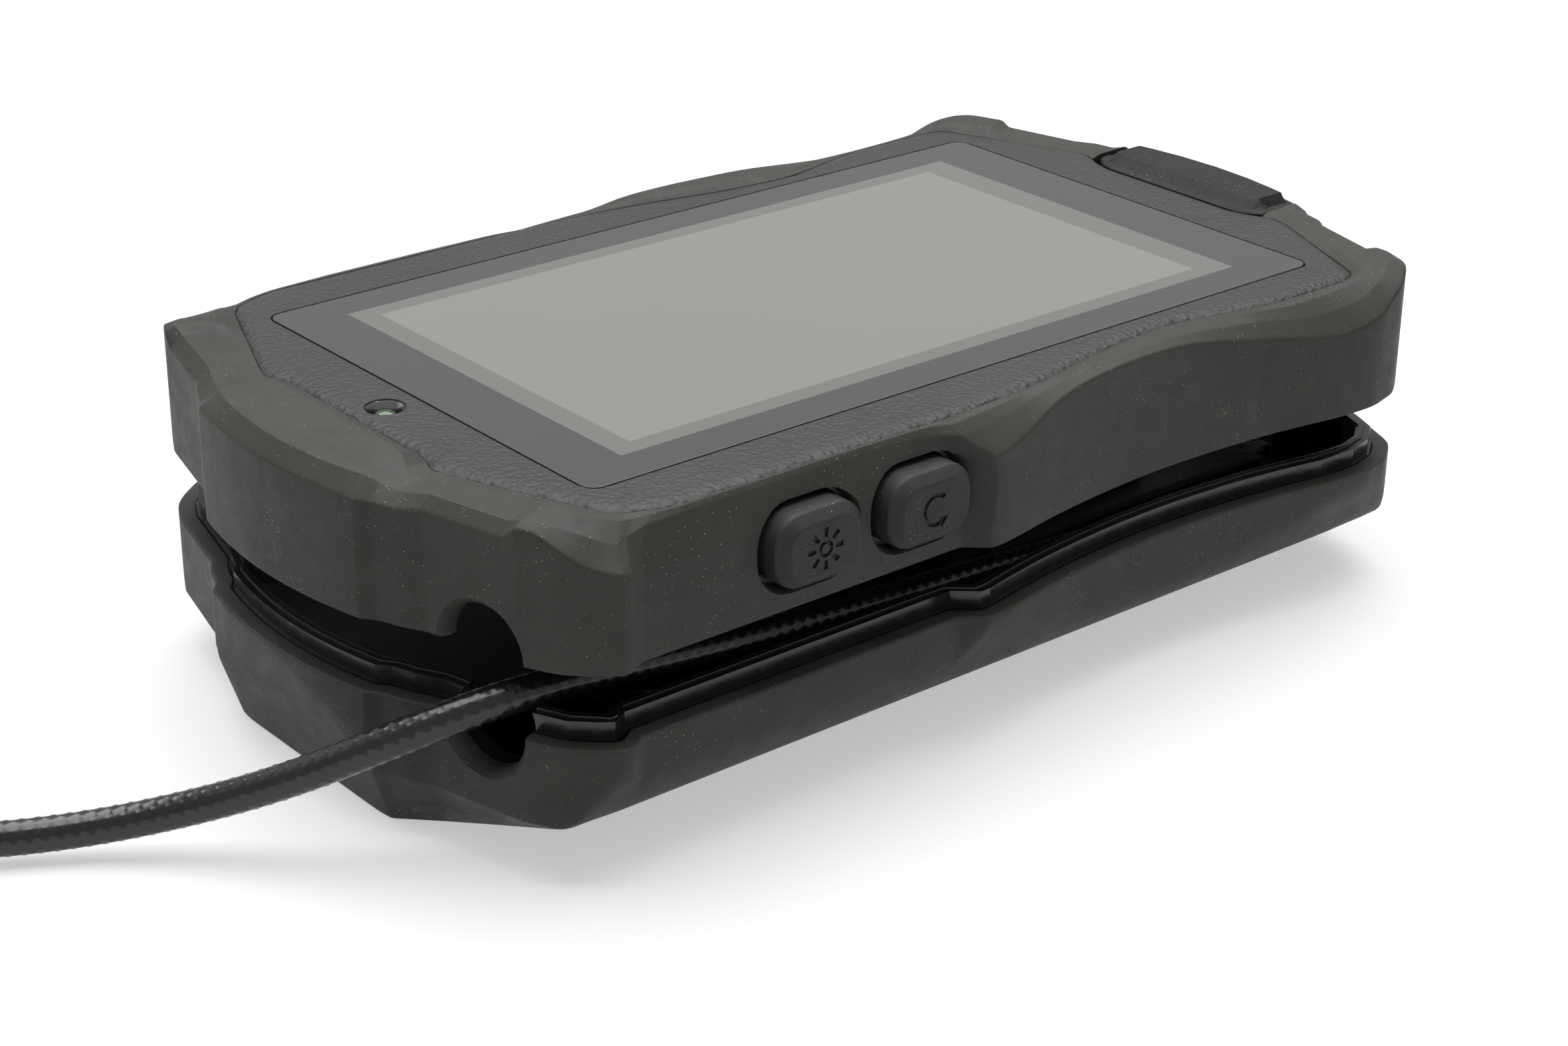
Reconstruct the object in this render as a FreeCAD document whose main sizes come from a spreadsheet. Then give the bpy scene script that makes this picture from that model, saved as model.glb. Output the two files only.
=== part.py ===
"""Handheld inspection camera: a display monitor that lifts off a cable magazine.

Origin: centre of the base on the surface it stands on. +Y points to the end with the
sockets, +X to the side with the light and rotate buttons, +Z up through the screen.
The case is drawn open: the monitor stands on its guide pins at the top of its lift.
"""
import FreeCAD, Part
import math
import os
import re
import Sketcher
from FreeCAD import Placement, Rotation, Vector

# ---------------------------------------------------------------- driving dimensions
# One row for each cell of the sheet: alias, value in millimetres (or a count).
DIMENSIONS = {
    # outline of the two rubber shells
    "bumper_half_width": 45.0,
    "panel_half_width": 42.7,
    "waist_half_width": 41.5,
    "pad_reach": 76.2,
    "rubber_wall": 2.2,
    "plastic_wall": 1.6,
    # heights above the surface, case open
    "rim_height": 17.0,
    "lift_travel": 8.5,
    "screen_height": 41.0,
    "band_height": 41.2,
    "pad_height": 42.0,
    "shoulder_foot": 36.7,
    "shoulder_slope": 1.05,
    # lower case; the slopes are outward for each millimetre up, below and above the knee
    "base_half_width": 29.5,
    "base_half_length": 71.6,
    "base_corner_sum": 87.0,
    "knee_height": 7.2,
    "low_side_slope": 1.45,
    "high_side_slope": 0.6,
    "end_slope": 0.29,
    "low_corner_slope": 2.45,
    "high_corner_slope": 1.3,
    "floor_bottom": 0.8,
    "floor_top": 2.5,
    "lip_rise": 2.0,
    "lip_setback": 0.3,
    "tub_wall": 2.1,
    # winding core and its cover
    "core_half_width": 31.7,
    "core_half_length": 47.8,
    "core_corner": 19.4,
    "core_wall": 1.8,
    "core_top": 15.4,
    "web_bottom": 5.0,
    "web_top": 6.5,
    "dish_thickness": 2.0,
    "block_half_width": 22.0,
    "block_half_length": 42.0,
    "block_top": 23.0,
    "block_corner": 5.0,
    "block_wall": 1.8,
    "skirt_spread": 4.6,
    "skirt_height": 2.6,
    "boss_bottom": 14.6,
    # guides between the two halves
    "guide_spacing_across": 28.0,
    "guide_spacing_along": 52.0,
    "guide_radius": 2.0,
    "bush_clearance": 0.05,
    "bush_radius": 3.5,
    "bush_bottom": 14.2,
    "washer_radius": 4.0,
    "washer_thickness": 1.0,
    "spigot_radius": 1.3,
    "seat_radius": 2.8,
    "seat_depth": 1.6,
    # screws: radius of the thread and of the head
    "core_screw_radius": 1.5,
    "core_head_radius": 2.8,
    "housing_screw_radius": 1.0,
    "housing_head_radius": 1.9,
    "stop_screw_radius": 0.8,
    "stop_head_radius": 1.9,
    # monitor back
    "collar_bottom": 27.9,
    "plate_bottom": 32.0,
    "plate_thickness": 1.4,
    "back_top": 39.1,
    # display stack
    "lens_half_width": 32.25,
    "lens_near": 55.5,
    "lens_far": 56.0,
    "lens_thickness": 1.3,
    "lens_gap": 0.15,
    "panel_half_across": 31.0,
    "panel_half_along": 53.6,
    "panel_thickness": 2.4,
    "gasket_thickness": 0.3,
    "led_radius": 1.5,
    "led_along": -59.8,
    # hinge of the port cover
    "hinge_pin_radius": 0.5,
    "knuckle_radius": 1.0,
    # buttons
    "cap_length": 12.1,
    "cap_height": 8.7,
    "cap_corner": 3.6,
    "cap_root": 38.8,
    "cap_face": 45.4,
    "cap_chamfer": 0.9,
    "button_height": 33.0,
    "first_button": -34.5,
    "second_button": -18.7,
    # cable and camera head
    "cable_diameter": 4.0,
    "coil_half_width": 33.9,
    "coil_half_length": 50.0,
    "coil_corner": 21.5,
    "coil_turns": 2,
    "first_turn": 8.65,
    "outlet_radius": 5.2,
    "head_diameter": 8.2,
    "head_length": 34.0,
    "ferrule_length": 7.0,
}

doc = FreeCAD.newDocument("inspection_camera")
sheet = doc.addObject("Spreadsheet::Sheet", "Dimensions")
for row, (alias, number) in enumerate(DIMENSIONS.items(), start=1):
    sheet.set("A%d" % row, alias)
    sheet.set("B%d" % row, str(number))
    sheet.setAlias("B%d" % row, alias)
doc.recompute()
D = DIMENSIONS
SUBPARTS = []

# ---------------------------------------------------------------- shared geometry
MONITOR_BOTTOM = D["rim_height"] + D["lift_travel"]
LIP_TOP = D["rim_height"] + D["lip_rise"]
PLATE_TOP = D["plate_bottom"] + D["plate_thickness"]
DISH_TOP = D["core_top"] + D["dish_thickness"]
GUIDES = [(sx * D["guide_spacing_across"] / 2, sy * D["guide_spacing_along"] / 2)
          for sx in (-1, 1) for sy in (-1, 1)]
CORE_SCREWS = [(sx * 21.0, sy * 36.0) for sx in (-1, 1) for sy in (-1, 1)]
HOUSING_SCREWS = [(sx * 34.6, y) for sx in (-1, 1) for y in (-50.5, 6.0, 50.5)]
OUTLET = Vector(30.2, -68.3, D["rim_height"])
OUTLET_NORMAL = Vector(0.237, -0.972, 0)
HINGE = Vector(0, 75.2, 29.8)


def half_outline():
    """Right half of the rubber shells' plan, from the near end to the far end.

    Each entry is a straight run to a point, or an arc through a first point to a second.
    """
    pad, side = D["pad_reach"], D["panel_half_width"]
    bumper, waist = D["bumper_half_width"], D["waist_half_width"]
    return [
        ("arc", (8.2, -pad + 0.55), (15.9, -pad + 2.0)),
        ("line", (17.5, -72.9)),
        ("line", (20.3, -71.9)),
        ("line", (23.0, -70.4)),
        ("line", (35.3, -67.4)),
        ("line", (39.5, -65.4)),
        ("line", (42.3, -62.5)),
        ("line", (44.0, -60.1)),
        ("line", (44.0, -59.1)),
        ("line", (side, -56.8)),
        ("line", (side, -12.3)),
        ("line", (bumper, -9.6)),
        ("line", (bumper, -7.0)),
        ("arc", (waist, 24.0), (44.2, 50.0)),
        ("line", (44.4, 56.3)),
        ("line", (43.2, 61.0)),
        ("line", (40.0, 65.4)),
        ("line", (35.3, 67.4)),
        ("line", (23.0, 70.4)),
        ("line", (20.3, 71.9)),
        ("line", (17.5, 72.9)),
        ("line", (15.9, pad - 2.0)),
        ("arc", (8.2, pad - 0.55), (0.0, pad)),
    ]


def half_bezel():
    """Right half of the front bezel's plan, from the near end to the far end."""
    corners = [(12.5, -63.7), (16.8, -65.0), (20.3, -63.8), (36.5, -57.4), (38.4, -55.6),
               (40.2, -50.0), (40.2, -12.0), (39.2, 2.0), (36.2, 17.0), (35.3, 28.0),
               (38.4, 41.0), (38.5, 56.0), (36.5, 58.6), (19.1, 66.0), (16.8, 66.3),
               (12.5, 64.2), (0.0, 64.1)]
    return [("line", corner) for corner in corners]


def closed_curves(start, half):
    """Geometry of a right half and its mirror image in the plane X = 0."""
    curves = []
    for side in (1, -1):
        last = Vector(start[0] * side, start[1], 0)
        for entry in half:
            points = [Vector(x * side, y, 0) for x, y in entry[1:]]
            if entry[0] == "arc":
                curves.append(Part.Arc(last, points[0], points[1]))
            else:
                curves.append(Part.LineSegment(last, points[0]))
            last = points[-1]
    return curves


# ---------------------------------------------------------------- document helpers
def bind(thing, prop, formula):
    """Set a property from a formula of cell aliases, or from a plain number."""
    if isinstance(formula, str):
        linked = re.sub(r"[a-z][a-z_]+", lambda word: "Dimensions." + word.group(), formula)
        thing.setExpression(prop, linked)
    elif prop.startswith("Placement"):
        thing.setExpression(prop, repr(float(formula)))
    else:
        setattr(thing, prop, formula)


def new(kind, name, **values):
    """A document object whose properties are numbers or formulas of the sheet."""
    thing = doc.addObject(kind, name)
    for prop, formula in values.items():
        bind(thing, prop, formula)
    return thing


def move(thing, x=0, y=0, z=0):
    """Place an object; each coordinate is a number or a formula of the sheet."""
    for axis, formula in (("x", x), ("y", y), ("z", z)):
        if formula != 0:
            bind(thing, "Placement.Base." + axis, formula)
    return thing


def box(name, across, along, height, x, y, z):
    """Block of three sizes with its low corner at x, y, z."""
    block = new("Part::Box", name, Length=across, Width=along, Height=height)
    return move(block, x, y, z)


def rod(name, radius, height, x=0, y=0, z=0):
    """Upright cylinder."""
    return move(new("Part::Cylinder", name, Radius=radius, Height=height), x, y, z)


def cross_rod(name, radius, length, x, y, z, axis):
    """Cylinder along any axis, starting at x, y, z."""
    bar = new("Part::Cylinder", name, Radius=radius, Height=length)
    bar.Placement = Placement(Vector(x, y, z), Rotation(Vector(0, 0, 1), Vector(*axis)))
    return bar


def sketch(name, curves, height=0):
    """Sketch in a level plane."""
    drawing = doc.addObject("Sketcher::SketchObject", name)
    drawing.addGeometry(curves, False)
    return move(drawing, 0, 0, height)


def polygon(name, corners, height=0):
    points = [Vector(x, y, 0) for x, y in corners]
    sides = [Part.LineSegment(a, b) for a, b in zip(points, points[1:] + points[:1])]
    return sketch(name, sides, height)


def extrude(name, profile, height, z=0):
    """Solid of a closed profile raised by height, its base at z."""
    solid = doc.addObject("Part::Extrusion", name)
    solid.Base = profile
    solid.DirMode = "Custom"
    solid.Dir = Vector(0, 0, 1)
    solid.Solid = True
    bind(solid, "LengthFwd", height)
    return move(solid, 0, 0, z)


def inset(name, profile, distance):
    """The profile moved inwards by a distance."""
    smaller = doc.addObject("Part::Offset2D", name)
    smaller.Source = profile
    smaller.Mode = "Pipe"
    smaller.Join = "Intersection"
    bind(smaller, "Value", "-(" + distance + ")")
    return smaller


def loft(name, low, high):
    solid = doc.addObject("Part::Loft", name)
    solid.Sections = [low, high]
    solid.Solid = True
    solid.Ruled = True
    return solid


def join(name, *pieces):
    union = doc.addObject("Part::MultiFuse", name)
    union.Shapes = list(pieces)
    return union


def overlap(name, *pieces):
    common = doc.addObject("Part::MultiCommon", name)
    common.Shapes = list(pieces)
    return common


def cut(name, base, *tools):
    """The base with every tool taken away."""
    difference = doc.addObject("Part::Cut", name)
    difference.Base = base
    difference.Tool = tools[0] if len(tools) == 1 else join(name + "_tools", *tools)
    return difference


def subpart(thing, label):
    """Name an object as one physical piece, which is written to its own file."""
    thing.Label = label
    SUBPARTS.append(thing)
    return thing


def body(name):
    return doc.addObject("PartDesign::Body", name)


def plane(owner, role):
    return next(f for f in owner.Origin.OriginFeatures if f.Role == role)


def body_sketch(owner, name, role, curves):
    drawing = owner.newObject("Sketcher::SketchObject", name)
    drawing.AttachmentSupport = (plane(owner, role), [""])
    drawing.MapMode = "FlatFace"
    drawing.addGeometry(curves, False)
    return drawing


def closed_lines(points):
    corners = [Vector(a, b, 0) for a, b in points]
    return [Part.LineSegment(p, q) for p, q in zip(corners, corners[1:] + corners[:1])]


def rounded_rectangle(half_a, half_b, corner):
    """Curves of a rectangle with round corners about the origin."""
    curves = []
    k = corner * (1 - math.sqrt(0.5))
    for sa, sb in ((1, 1), (-1, 1), (-1, -1), (1, -1)):
        ends = [(sa * half_a, sb * (half_b - corner)), (sa * (half_a - corner), sb * half_b)]
        if sa * sb < 0:
            ends.reverse()
        middle = Vector(sa * (half_a - k), sb * (half_b - k), 0)
        curves.append(Part.Arc(Vector(*ends[0], 0), middle, Vector(*ends[1], 0)))
    straights = []
    for first, second in zip(curves, curves[1:] + curves[:1]):
        straights.append(Part.LineSegment(first.EndPoint, second.StartPoint))
    return curves + straights


outline = sketch("outline", closed_curves((0, -D["pad_reach"]), half_outline()))
rubber_inner = inset("rubber_inner", outline, "rubber_wall")
back_inner = inset("back_inner", outline, "rubber_wall + plastic_wall")
lip_outer = inset("lip_outer", outline, "rubber_wall + lip_setback")
tub_inner = inset("tub_inner", outline, "rubber_wall + tub_wall")
bezel_plan = sketch("bezel_plan", closed_curves((0, -63.8), half_bezel()))
block_plan = sketch("block_plan", rounded_rectangle(D["block_half_width"],
                                                    D["block_half_length"],
                                                    D["block_corner"]))
block_room = inset("block_room", block_plan, "block_wall")


# ---------------------------------------------------------------- cable magazine
def base_hull(name, inward):
    """Bevelled underside: its sides slope out to a knee, then stand up more steeply."""
    sections = []
    for z in (0.0, D["knee_height"], D["rim_height"] + 3.0):
        high = max(z - D["knee_height"], 0.0)
        low = z - high
        side = D["base_half_width"] - inward
        side += D["low_side_slope"] * low + D["high_side_slope"] * high
        end = D["base_half_length"] - inward + D["end_slope"] * z
        corner = D["base_corner_sum"] - math.sqrt(2) * inward
        corner += D["low_corner_slope"] * low + D["high_corner_slope"] * high
        right = [(corner - end, -end), (side, side - corner),
                 (side, corner - side), (corner - end, end)]
        left = [(-x, y) for x, y in reversed(right)]
        sections.append(polygon("%s_%d" % (name, len(sections)), right + left, z))
    lower = loft(name + "_lower", sections[0], sections[1])
    upper = loft(name + "_upper", sections[1], sections[2])
    return join(name, lower, upper)


def outlet_drill(name, height, grow=0.0):
    """Round cable outlet, drilled level through the end wall at the height of its edge."""
    start = Vector(OUTLET.x, OUTLET.y, height) + OUTLET_NORMAL * 8
    return cross_rod(name, "outlet_radius + %.1f" % grow, 22, start.x, start.y, height,
                     tuple(OUTLET_NORMAL * -1))


def lower_overmould():
    skin = overlap("overmould_low_solid", extrude("overmould_low_prism", outline, "rim_height"),
                   base_hull("base_outer", 0.0))
    hollow = overlap("overmould_low_hollow",
                     extrude("overmould_low_core", rubber_inner, "rim_height", "floor_bottom"),
                     base_hull("base_inner", 2.0))
    top = extrude("overmould_low_mouth", rubber_inner, 6, "rim_height - 3")
    window = extrude("base_window", sketch("base_window_plan", rounded_rectangle(25, 60, 12)),
                     3, -1)
    shell = cut("lower_overmould", skin, hollow, top, window,
                outlet_drill("outlet_low", D["rim_height"]))
    return subpart(shell, "lower_overmould")


def lower_tub():
    height = D["rim_height"] - D["floor_bottom"]
    wall = overlap("tub_wall_solid",
                   extrude("tub_prism", rubber_inner, height, "floor_bottom"),
                   base_hull("tub_hull", 2.0))
    lip = extrude("tub_lip", lip_outer, "lip_rise + 2", "rim_height - 2")
    solid = join("tub_solid", wall, lip)
    bosses = [rod("tub_boss_%d" % n, 4.0, "web_bottom", x, y)
              for n, (x, y) in enumerate(CORE_SCREWS)]
    room = overlap("tub_room", extrude("tub_cavity", tub_inner, 20, "floor_top"),
                   base_hull("tub_hollow_hull", 4.0))
    hollow = cut("tub_hollow", room, *bosses)
    mouth = extrude("tub_mouth", tub_inner, 6, "rim_height - 3")
    drills = [rod("tub_drill_%d" % n, "core_screw_radius + 0.2", 8, x, y)
              for n, (x, y) in enumerate(CORE_SCREWS)]
    heads = [rod("tub_bore_%d" % n, "core_head_radius + 0.2", 3.3, x, y)
             for n, (x, y) in enumerate(CORE_SCREWS)]
    shell = cut("lower_tub", solid, hollow, mouth, outlet_drill("outlet_tub", D["rim_height"]),
                *drills, *heads)
    return subpart(shell, "lower_tub")


def core_profile(name, grow):
    return sketch(name, rounded_rectangle(D["core_half_width"] + grow,
                                          D["core_half_length"] + grow,
                                          D["core_corner"] + grow))


def cable_core():
    """Winding wall with a web that carries the screw bosses and clears the guides."""
    outer = core_profile("core_outer", 0)
    inner = core_profile("core_inner", -D["core_wall"])
    block = overlap("core_block",
                    extrude("core_prism", outer, "core_top - floor_top", "floor_top"),
                    base_hull("core_limit", 4.2))
    ring = cut("core_ring", block, extrude("core_hole", inner, 20, 0))
    web = extrude("core_web", inner, "web_top - web_bottom", "web_bottom")
    bosses = [rod("core_boss_%d" % n, 3.6, "core_top - web_bottom", x, y, "web_bottom")
              for n, (x, y) in enumerate(CORE_SCREWS)]
    threads = [rod("core_thread_%d" % n, "core_screw_radius", 9.5, x, y, "web_bottom - 1")
               for n, (x, y) in enumerate(CORE_SCREWS)]
    travel = [rod("core_travel_%d" % n, "washer_radius + 1", 4, x, y, "web_bottom - 1")
              for n, (x, y) in enumerate(GUIDES)]
    lead = box("core_lead_slot", 24, 12, 4, -12, 2, "web_bottom - 1")
    port = cross_rod("core_port", 2.15, 8, -34, -22, D["first_turn"], (1, 0, 0))
    return subpart(cut("cable_core", join("core_solid", ring, web, *bosses),
                       *threads, *travel, lead, port), "cable_core")


def core_cover():
    """Dish over the winding, open in the middle, where the guide block stands on it."""
    near = tub_inner_mask("dish_near", -72.5, -54.0, 27.5)
    deck = box("dish_deck", 63.4, 106.5, "dish_thickness", -31.7, -54.5, "core_top")
    ridges = [cable_ridge("ridge_%d_%d" % (side, level), side, DISH_TOP - 1.0 * level)
              for side in (-1, 1) for level in (0, 1)]
    window = extrude("dish_window", block_room, "dish_thickness + 2", "core_top - 1")
    return subpart(cut("core_cover", join("dish_solid", near, deck, *ridges), window),
                   "core_cover")


def guide_block():
    """Hollow block on the dish, with a sloping foot and a boss for each guide bush."""
    outer = extrude("block_outer", block_plan, "block_top - core_top - dish_thickness",
                    "core_top + dish_thickness")
    inner = extrude("block_inner", block_room, "block_top - block_wall - core_top", "core_top")
    shell = cut("block_shell", join("block_solid", outer, sloping_foot("block_foot")), inner)
    bosses = [rod("bush_boss_%d" % n, "bush_radius + 1.6", "block_top - boss_bottom", x, y,
                  "boss_bottom") for n, (x, y) in enumerate(GUIDES)]
    holes = [rod("bush_hole_%d" % n, "bush_radius", 14, x, y, "boss_bottom - 2")
             for n, (x, y) in enumerate(GUIDES)]
    lead = box("block_lead_slot", 24, 12, 20, -12, 2, 14)
    return subpart(cut("guide_block", join("block_bossed", shell, *bosses), lead, *holes),
                   "guide_block")


def tub_inner_mask(name, low, high, half):
    """Part of the tub's inner plan between two cross lines, as a plate of the dish."""
    plate = extrude(name + "_plate", inset(name + "_plan", outline,
                    "rubber_wall + tub_wall + 0.3"), "dish_thickness", "core_top")
    window = box(name + "_window", 2 * half, high - low, 10, -half, low, 12)
    return overlap(name, plate, window)


def sloping_foot(name):
    """Foot that leads from the dish up to the block."""
    spread = D["skirt_spread"]
    foot = rounded_rectangle(D["block_half_width"] + spread, D["block_half_length"] + spread,
                             D["block_corner"] + spread)
    top = rounded_rectangle(D["block_half_width"], D["block_half_length"], D["block_corner"])
    return loft(name, sketch(name + "_low", foot, DISH_TOP),
                sketch(name + "_high", top, DISH_TOP + D["skirt_height"]))


def cable_ridge(name, side, height):
    """Saw-tooth rib along the dish's edge that keeps the cable in its slot."""
    edge = D["core_half_width"]
    tooth = Part.makePolygon([Vector(side * (edge - 1.5), -46, height),
                              Vector(side * (edge + 0.9), -46, height),
                              Vector(side * (edge - 1.5), -46, height - 0.9),
                              Vector(side * (edge - 1.5), -46, height)])
    rib = doc.addObject("Part::Feature", name)
    rib.Shape = Part.Face(tooth).extrude(Vector(0, 96, 0))
    return rib


def core_screws():
    """Four pan-head screws that hold the core to the tub from below."""
    screws = []
    for n, (x, y) in enumerate(CORE_SCREWS):
        head = rod("core_screw_head_%d" % n, "core_head_radius", 1.8, x, y, 1.5)
        shank = rod("core_screw_shank_%d" % n, "core_screw_radius", 10, x, y, 3.3)
        recess = rod("core_screw_drive_%d" % n, 1.1, 1.0, x, y, 1.4)
        screws.append(cut("core_screw_%d" % n, join("core_screw_solid_%d" % n, head, shank),
                          recess))
    return subpart(join("core_screws", *screws), "core_screws")


# ---------------------------------------------------------------- guides
def guide_bushes():
    bushes = []
    for n, (x, y) in enumerate(GUIDES):
        tube = rod("bush_tube_%d" % n, "bush_radius", "block_top - bush_bottom", x, y,
                   "bush_bottom")
        hole = rod("bush_bore_%d" % n, "guide_radius + bush_clearance", 12, x, y, 13)
        seat = rod("bush_seat_%d" % n, "seat_radius", 2, x, y, "block_top - seat_depth")
        bushes.append(cut("bush_%d" % n, tube, hole, seat))
    return subpart(join("guide_bushes", *bushes), "guide_bushes")


def friction_rings():
    """Felt rings in the bushes' seats: they hold the monitor at any height."""
    rings = []
    for n, (x, y) in enumerate(GUIDES):
        ring = rod("friction_disc_%d" % n, "seat_radius", "seat_depth - 0.2", x, y,
                   "block_top - seat_depth")
        hole = rod("friction_hole_%d" % n, "guide_radius + 0.02", 3, x, y, "block_top - 2")
        rings.append(cut("friction_ring_%d" % n, ring, hole))
    return subpart(join("friction_rings", *rings), "friction_rings")


def guide_pins():
    pins = []
    pin_bottom = D["bush_bottom"] - 0.1
    for n, (x, y) in enumerate(GUIDES):
        pin = rod("pin_rod_%d" % n, "guide_radius", D["plate_bottom"] - pin_bottom, x, y,
                  pin_bottom)
        spigot = rod("pin_spigot_%d" % n, "spigot_radius", "plate_thickness", x, y, "plate_bottom")
        thread = rod("pin_thread_%d" % n, "stop_screw_radius", 6, x, y, pin_bottom - 1)
        pins.append(cut("pin_%d" % n, join("pin_solid_%d" % n, pin, spigot), thread))
    return subpart(join("guide_pins", *pins), "guide_pins")


def stop_washers():
    washers = []
    for n, (x, y) in enumerate(GUIDES):
        bottom = D["bush_bottom"] - 0.1 - D["washer_thickness"]
        disc = rod("washer_disc_%d" % n, "washer_radius", "washer_thickness", x, y, bottom)
        hole = rod("washer_hole_%d" % n, "stop_screw_radius", 3, x, y, bottom - 1)
        washers.append(cut("washer_%d" % n, disc, hole))
    return subpart(join("stop_washers", *washers), "stop_washers")


def stop_screws():
    screws = []
    seat = D["bush_bottom"] - 0.1 - D["washer_thickness"]
    for n, (x, y) in enumerate(GUIDES):
        head = rod("stop_head_%d" % n, "stop_head_radius", 1.6, x, y, seat - 1.6)
        shank = rod("stop_shank_%d" % n, "stop_screw_radius", 5.5, x, y, seat)
        slot = box("stop_slot_%d" % n, 4.4, 0.5, 0.6, x - 2.2, y - 0.25, seat - 1.7)
        screws.append(cut("stop_screw_%d" % n, join("stop_solid_%d" % n, head, shank), slot))
    return subpart(join("stop_screws", *screws), "stop_screws")


# ---------------------------------------------------------------- monitor housing
def button_places():
    """Side and position along the case of each button, by name."""
    first, second = D["first_button"], D["second_button"]
    return {"light_button": (1, first), "rotate_button": (1, second),
            "power_button": (-1, first), "zoom_button": (-1, second)}


def button_window(name, side, along, grow, start, depth):
    """Hole for a button cap: a rounded window through a side wall."""
    window = sketch(name + "_plan", rounded_rectangle(D["cap_length"] / 2 + grow,
                                                      D["cap_height"] / 2 + grow,
                                                      D["cap_corner"] + grow))
    solid = doc.addObject("Part::Extrusion", name)
    solid.Base = window
    solid.DirMode = "Custom"
    solid.Dir = Vector(0, 0, 1)
    solid.Solid = True
    solid.LengthFwd = depth
    turn = Rotation(Vector(0, side, 0), Vector(0, 0, 1), Vector(side, 0, 0), "XYZ")
    solid.Placement = Placement(Vector(side * start, along, D["button_height"]), turn)
    return solid


def shoulder_reach(z):
    """Half width between the sloping shoulders at a height."""
    return D["bumper_half_width"] - D["shoulder_slope"] * (z - D["shoulder_foot"])


def shoulder_hull(name):
    """Sloping shoulders along the sides and a small bevel across the ends."""
    sections = []
    for z in (MONITOR_BOTTOM - 1, D["pad_height"]):
        side = shoulder_reach(z)
        end = D["pad_reach"] - (z - 39.7)
        corners = [(side, -end), (side, end), (-side, end), (-side, -end)]
        sections.append(polygon("%s_%d" % (name, len(sections)), corners, z))
    return loft(name, *sections)


def top_relief():
    """Everything above the level band, apart from the two end pads."""
    slab = box("relief_slab", 110, 180, 5, -55, -90, "band_height")
    pads = [box("relief_pad_%d" % n, 33, 14, 6, -16.5, y, "band_height - 0.5")
            for n, y in enumerate((-80.0, 66.0))]
    return cut("top_relief", slab, *pads)


def monitor_overmould():
    height = D["pad_height"] - MONITOR_BOTTOM
    solid = overlap("overmould_top_solid",
                    extrude("overmould_top_prism", outline, height, MONITOR_BOTTOM),
                    shoulder_hull("shoulders"))
    room = extrude("overmould_room", rubber_inner, D["back_top"] - MONITOR_BOTTOM + 1,
                   MONITOR_BOTTOM - 1)
    opening = extrude("overmould_opening", bezel_plan, 10, "back_top - 1")
    windows = [button_window("skin_" + name, side, along, 0.7, 36, 14)
               for name, (side, along) in button_places().items()]
    cover = box("cover_pocket", 31.2, 14, 20, -15.6, 64.0, HINGE.z - 1.2)
    shell = cut("monitor_overmould", solid, room, opening, top_relief(), cover,
                outlet_drill("outlet_top", MONITOR_BOTTOM), *windows)
    return subpart(shell, "monitor_overmould")


def closing_collar():
    """Hard ring under the back plate: it slides over the magazine's lip as the case closes
    and carries the ears of the port cover's hinge."""
    ring = cut("collar_ring",
               extrude("collar_prism", rubber_inner, "plate_bottom - collar_bottom",
                       "collar_bottom"),
               extrude("collar_room", back_inner, "plate_bottom - collar_bottom + 2",
                       "collar_bottom - 1"))
    ears = [join("hinge_ear_%d" % n,
                 cross_rod("ear_round_%d" % n, "knuckle_radius", 2.2, x, HINGE.y, HINGE.z,
                           (1, 0, 0)),
                 box("ear_arm_%d" % n, 2.2, 2.2, 2.0, x, HINGE.y - 2.2, HINGE.z - 1.0))
            for n, x in enumerate((-8.8, 6.6))]
    pin = cross_rod("hinge_drill", "hinge_pin_radius", 30, -15, HINGE.y, HINGE.z, (1, 0, 0))
    windows = [button_window("collar_" + name, side, along, 0.25, 36, 12)
               for name, (side, along) in button_places().items()]
    return subpart(cut("closing_collar", join("collar_eared", ring, *ears), pin,
                       outlet_drill("outlet_collar", MONITOR_BOTTOM, 2.0), *windows),
                   "closing_collar")


def monitor_back():
    """Hard inner case: a flat plate with walls round the display and its electronics."""
    solid = extrude("back_prism", rubber_inner, "back_top - plate_bottom", "plate_bottom")
    trimmed = overlap("back_trimmed", solid, shoulder_inner("back_shoulders"))
    room = extrude("back_room", back_inner, 12, PLATE_TOP)
    shell = cut("back_shell", trimmed, room)
    bosses = [rod("back_boss_%d" % n, 2.6, "back_top - plate_bottom", x, y, "plate_bottom")
              for n, (x, y) in enumerate(HOUSING_SCREWS)]
    windows = [button_window("wall_" + name, side, along, 0.25, 36, 12)
               for name, (side, along) in button_places().items()]
    counterbores = [rod("back_counterbore_%d" % n, 2.0, 2.6, x, y, "plate_bottom - 1")
                    for n, (x, y) in enumerate(HOUSING_SCREWS)]
    drills = [rod("back_drill_%d" % n, "housing_screw_radius + 0.1", 12, x, y, 30)
              for n, (x, y) in enumerate(HOUSING_SCREWS)]
    spigots = [rod("back_spigot_%d" % n, "spigot_radius", 6, x, y, 30)
               for n, (x, y) in enumerate(GUIDES)]
    lead = box("back_lead_slot", 24, 12, 6, -12, 2, 30)
    reliefs = [box("plate_relief_%d" % n, 3.2, 15.4, 3, 35.7 if side > 0 else -38.9,
                   along - 7.7, 31) for n, (side, along) in enumerate(button_places().values())]
    sockets = [box("socket_video", 7.4, 10, 4.0, -13.2, 66, 34.5),
               box("socket_usb", 8.4, 10, 3.2, -4.2, 66, 34.5),
               box("socket_card", 10.4, 10, 2.0, 4.8, 66, 34.5)]
    return subpart(cut("monitor_back", join("back_bossed", shell, *bosses), lead,
                       outlet_drill("outlet_back", MONITOR_BOTTOM, 2.0),
                       *windows, *counterbores, *drills, *spigots, *reliefs, *sockets),
                   "monitor_back")


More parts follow.
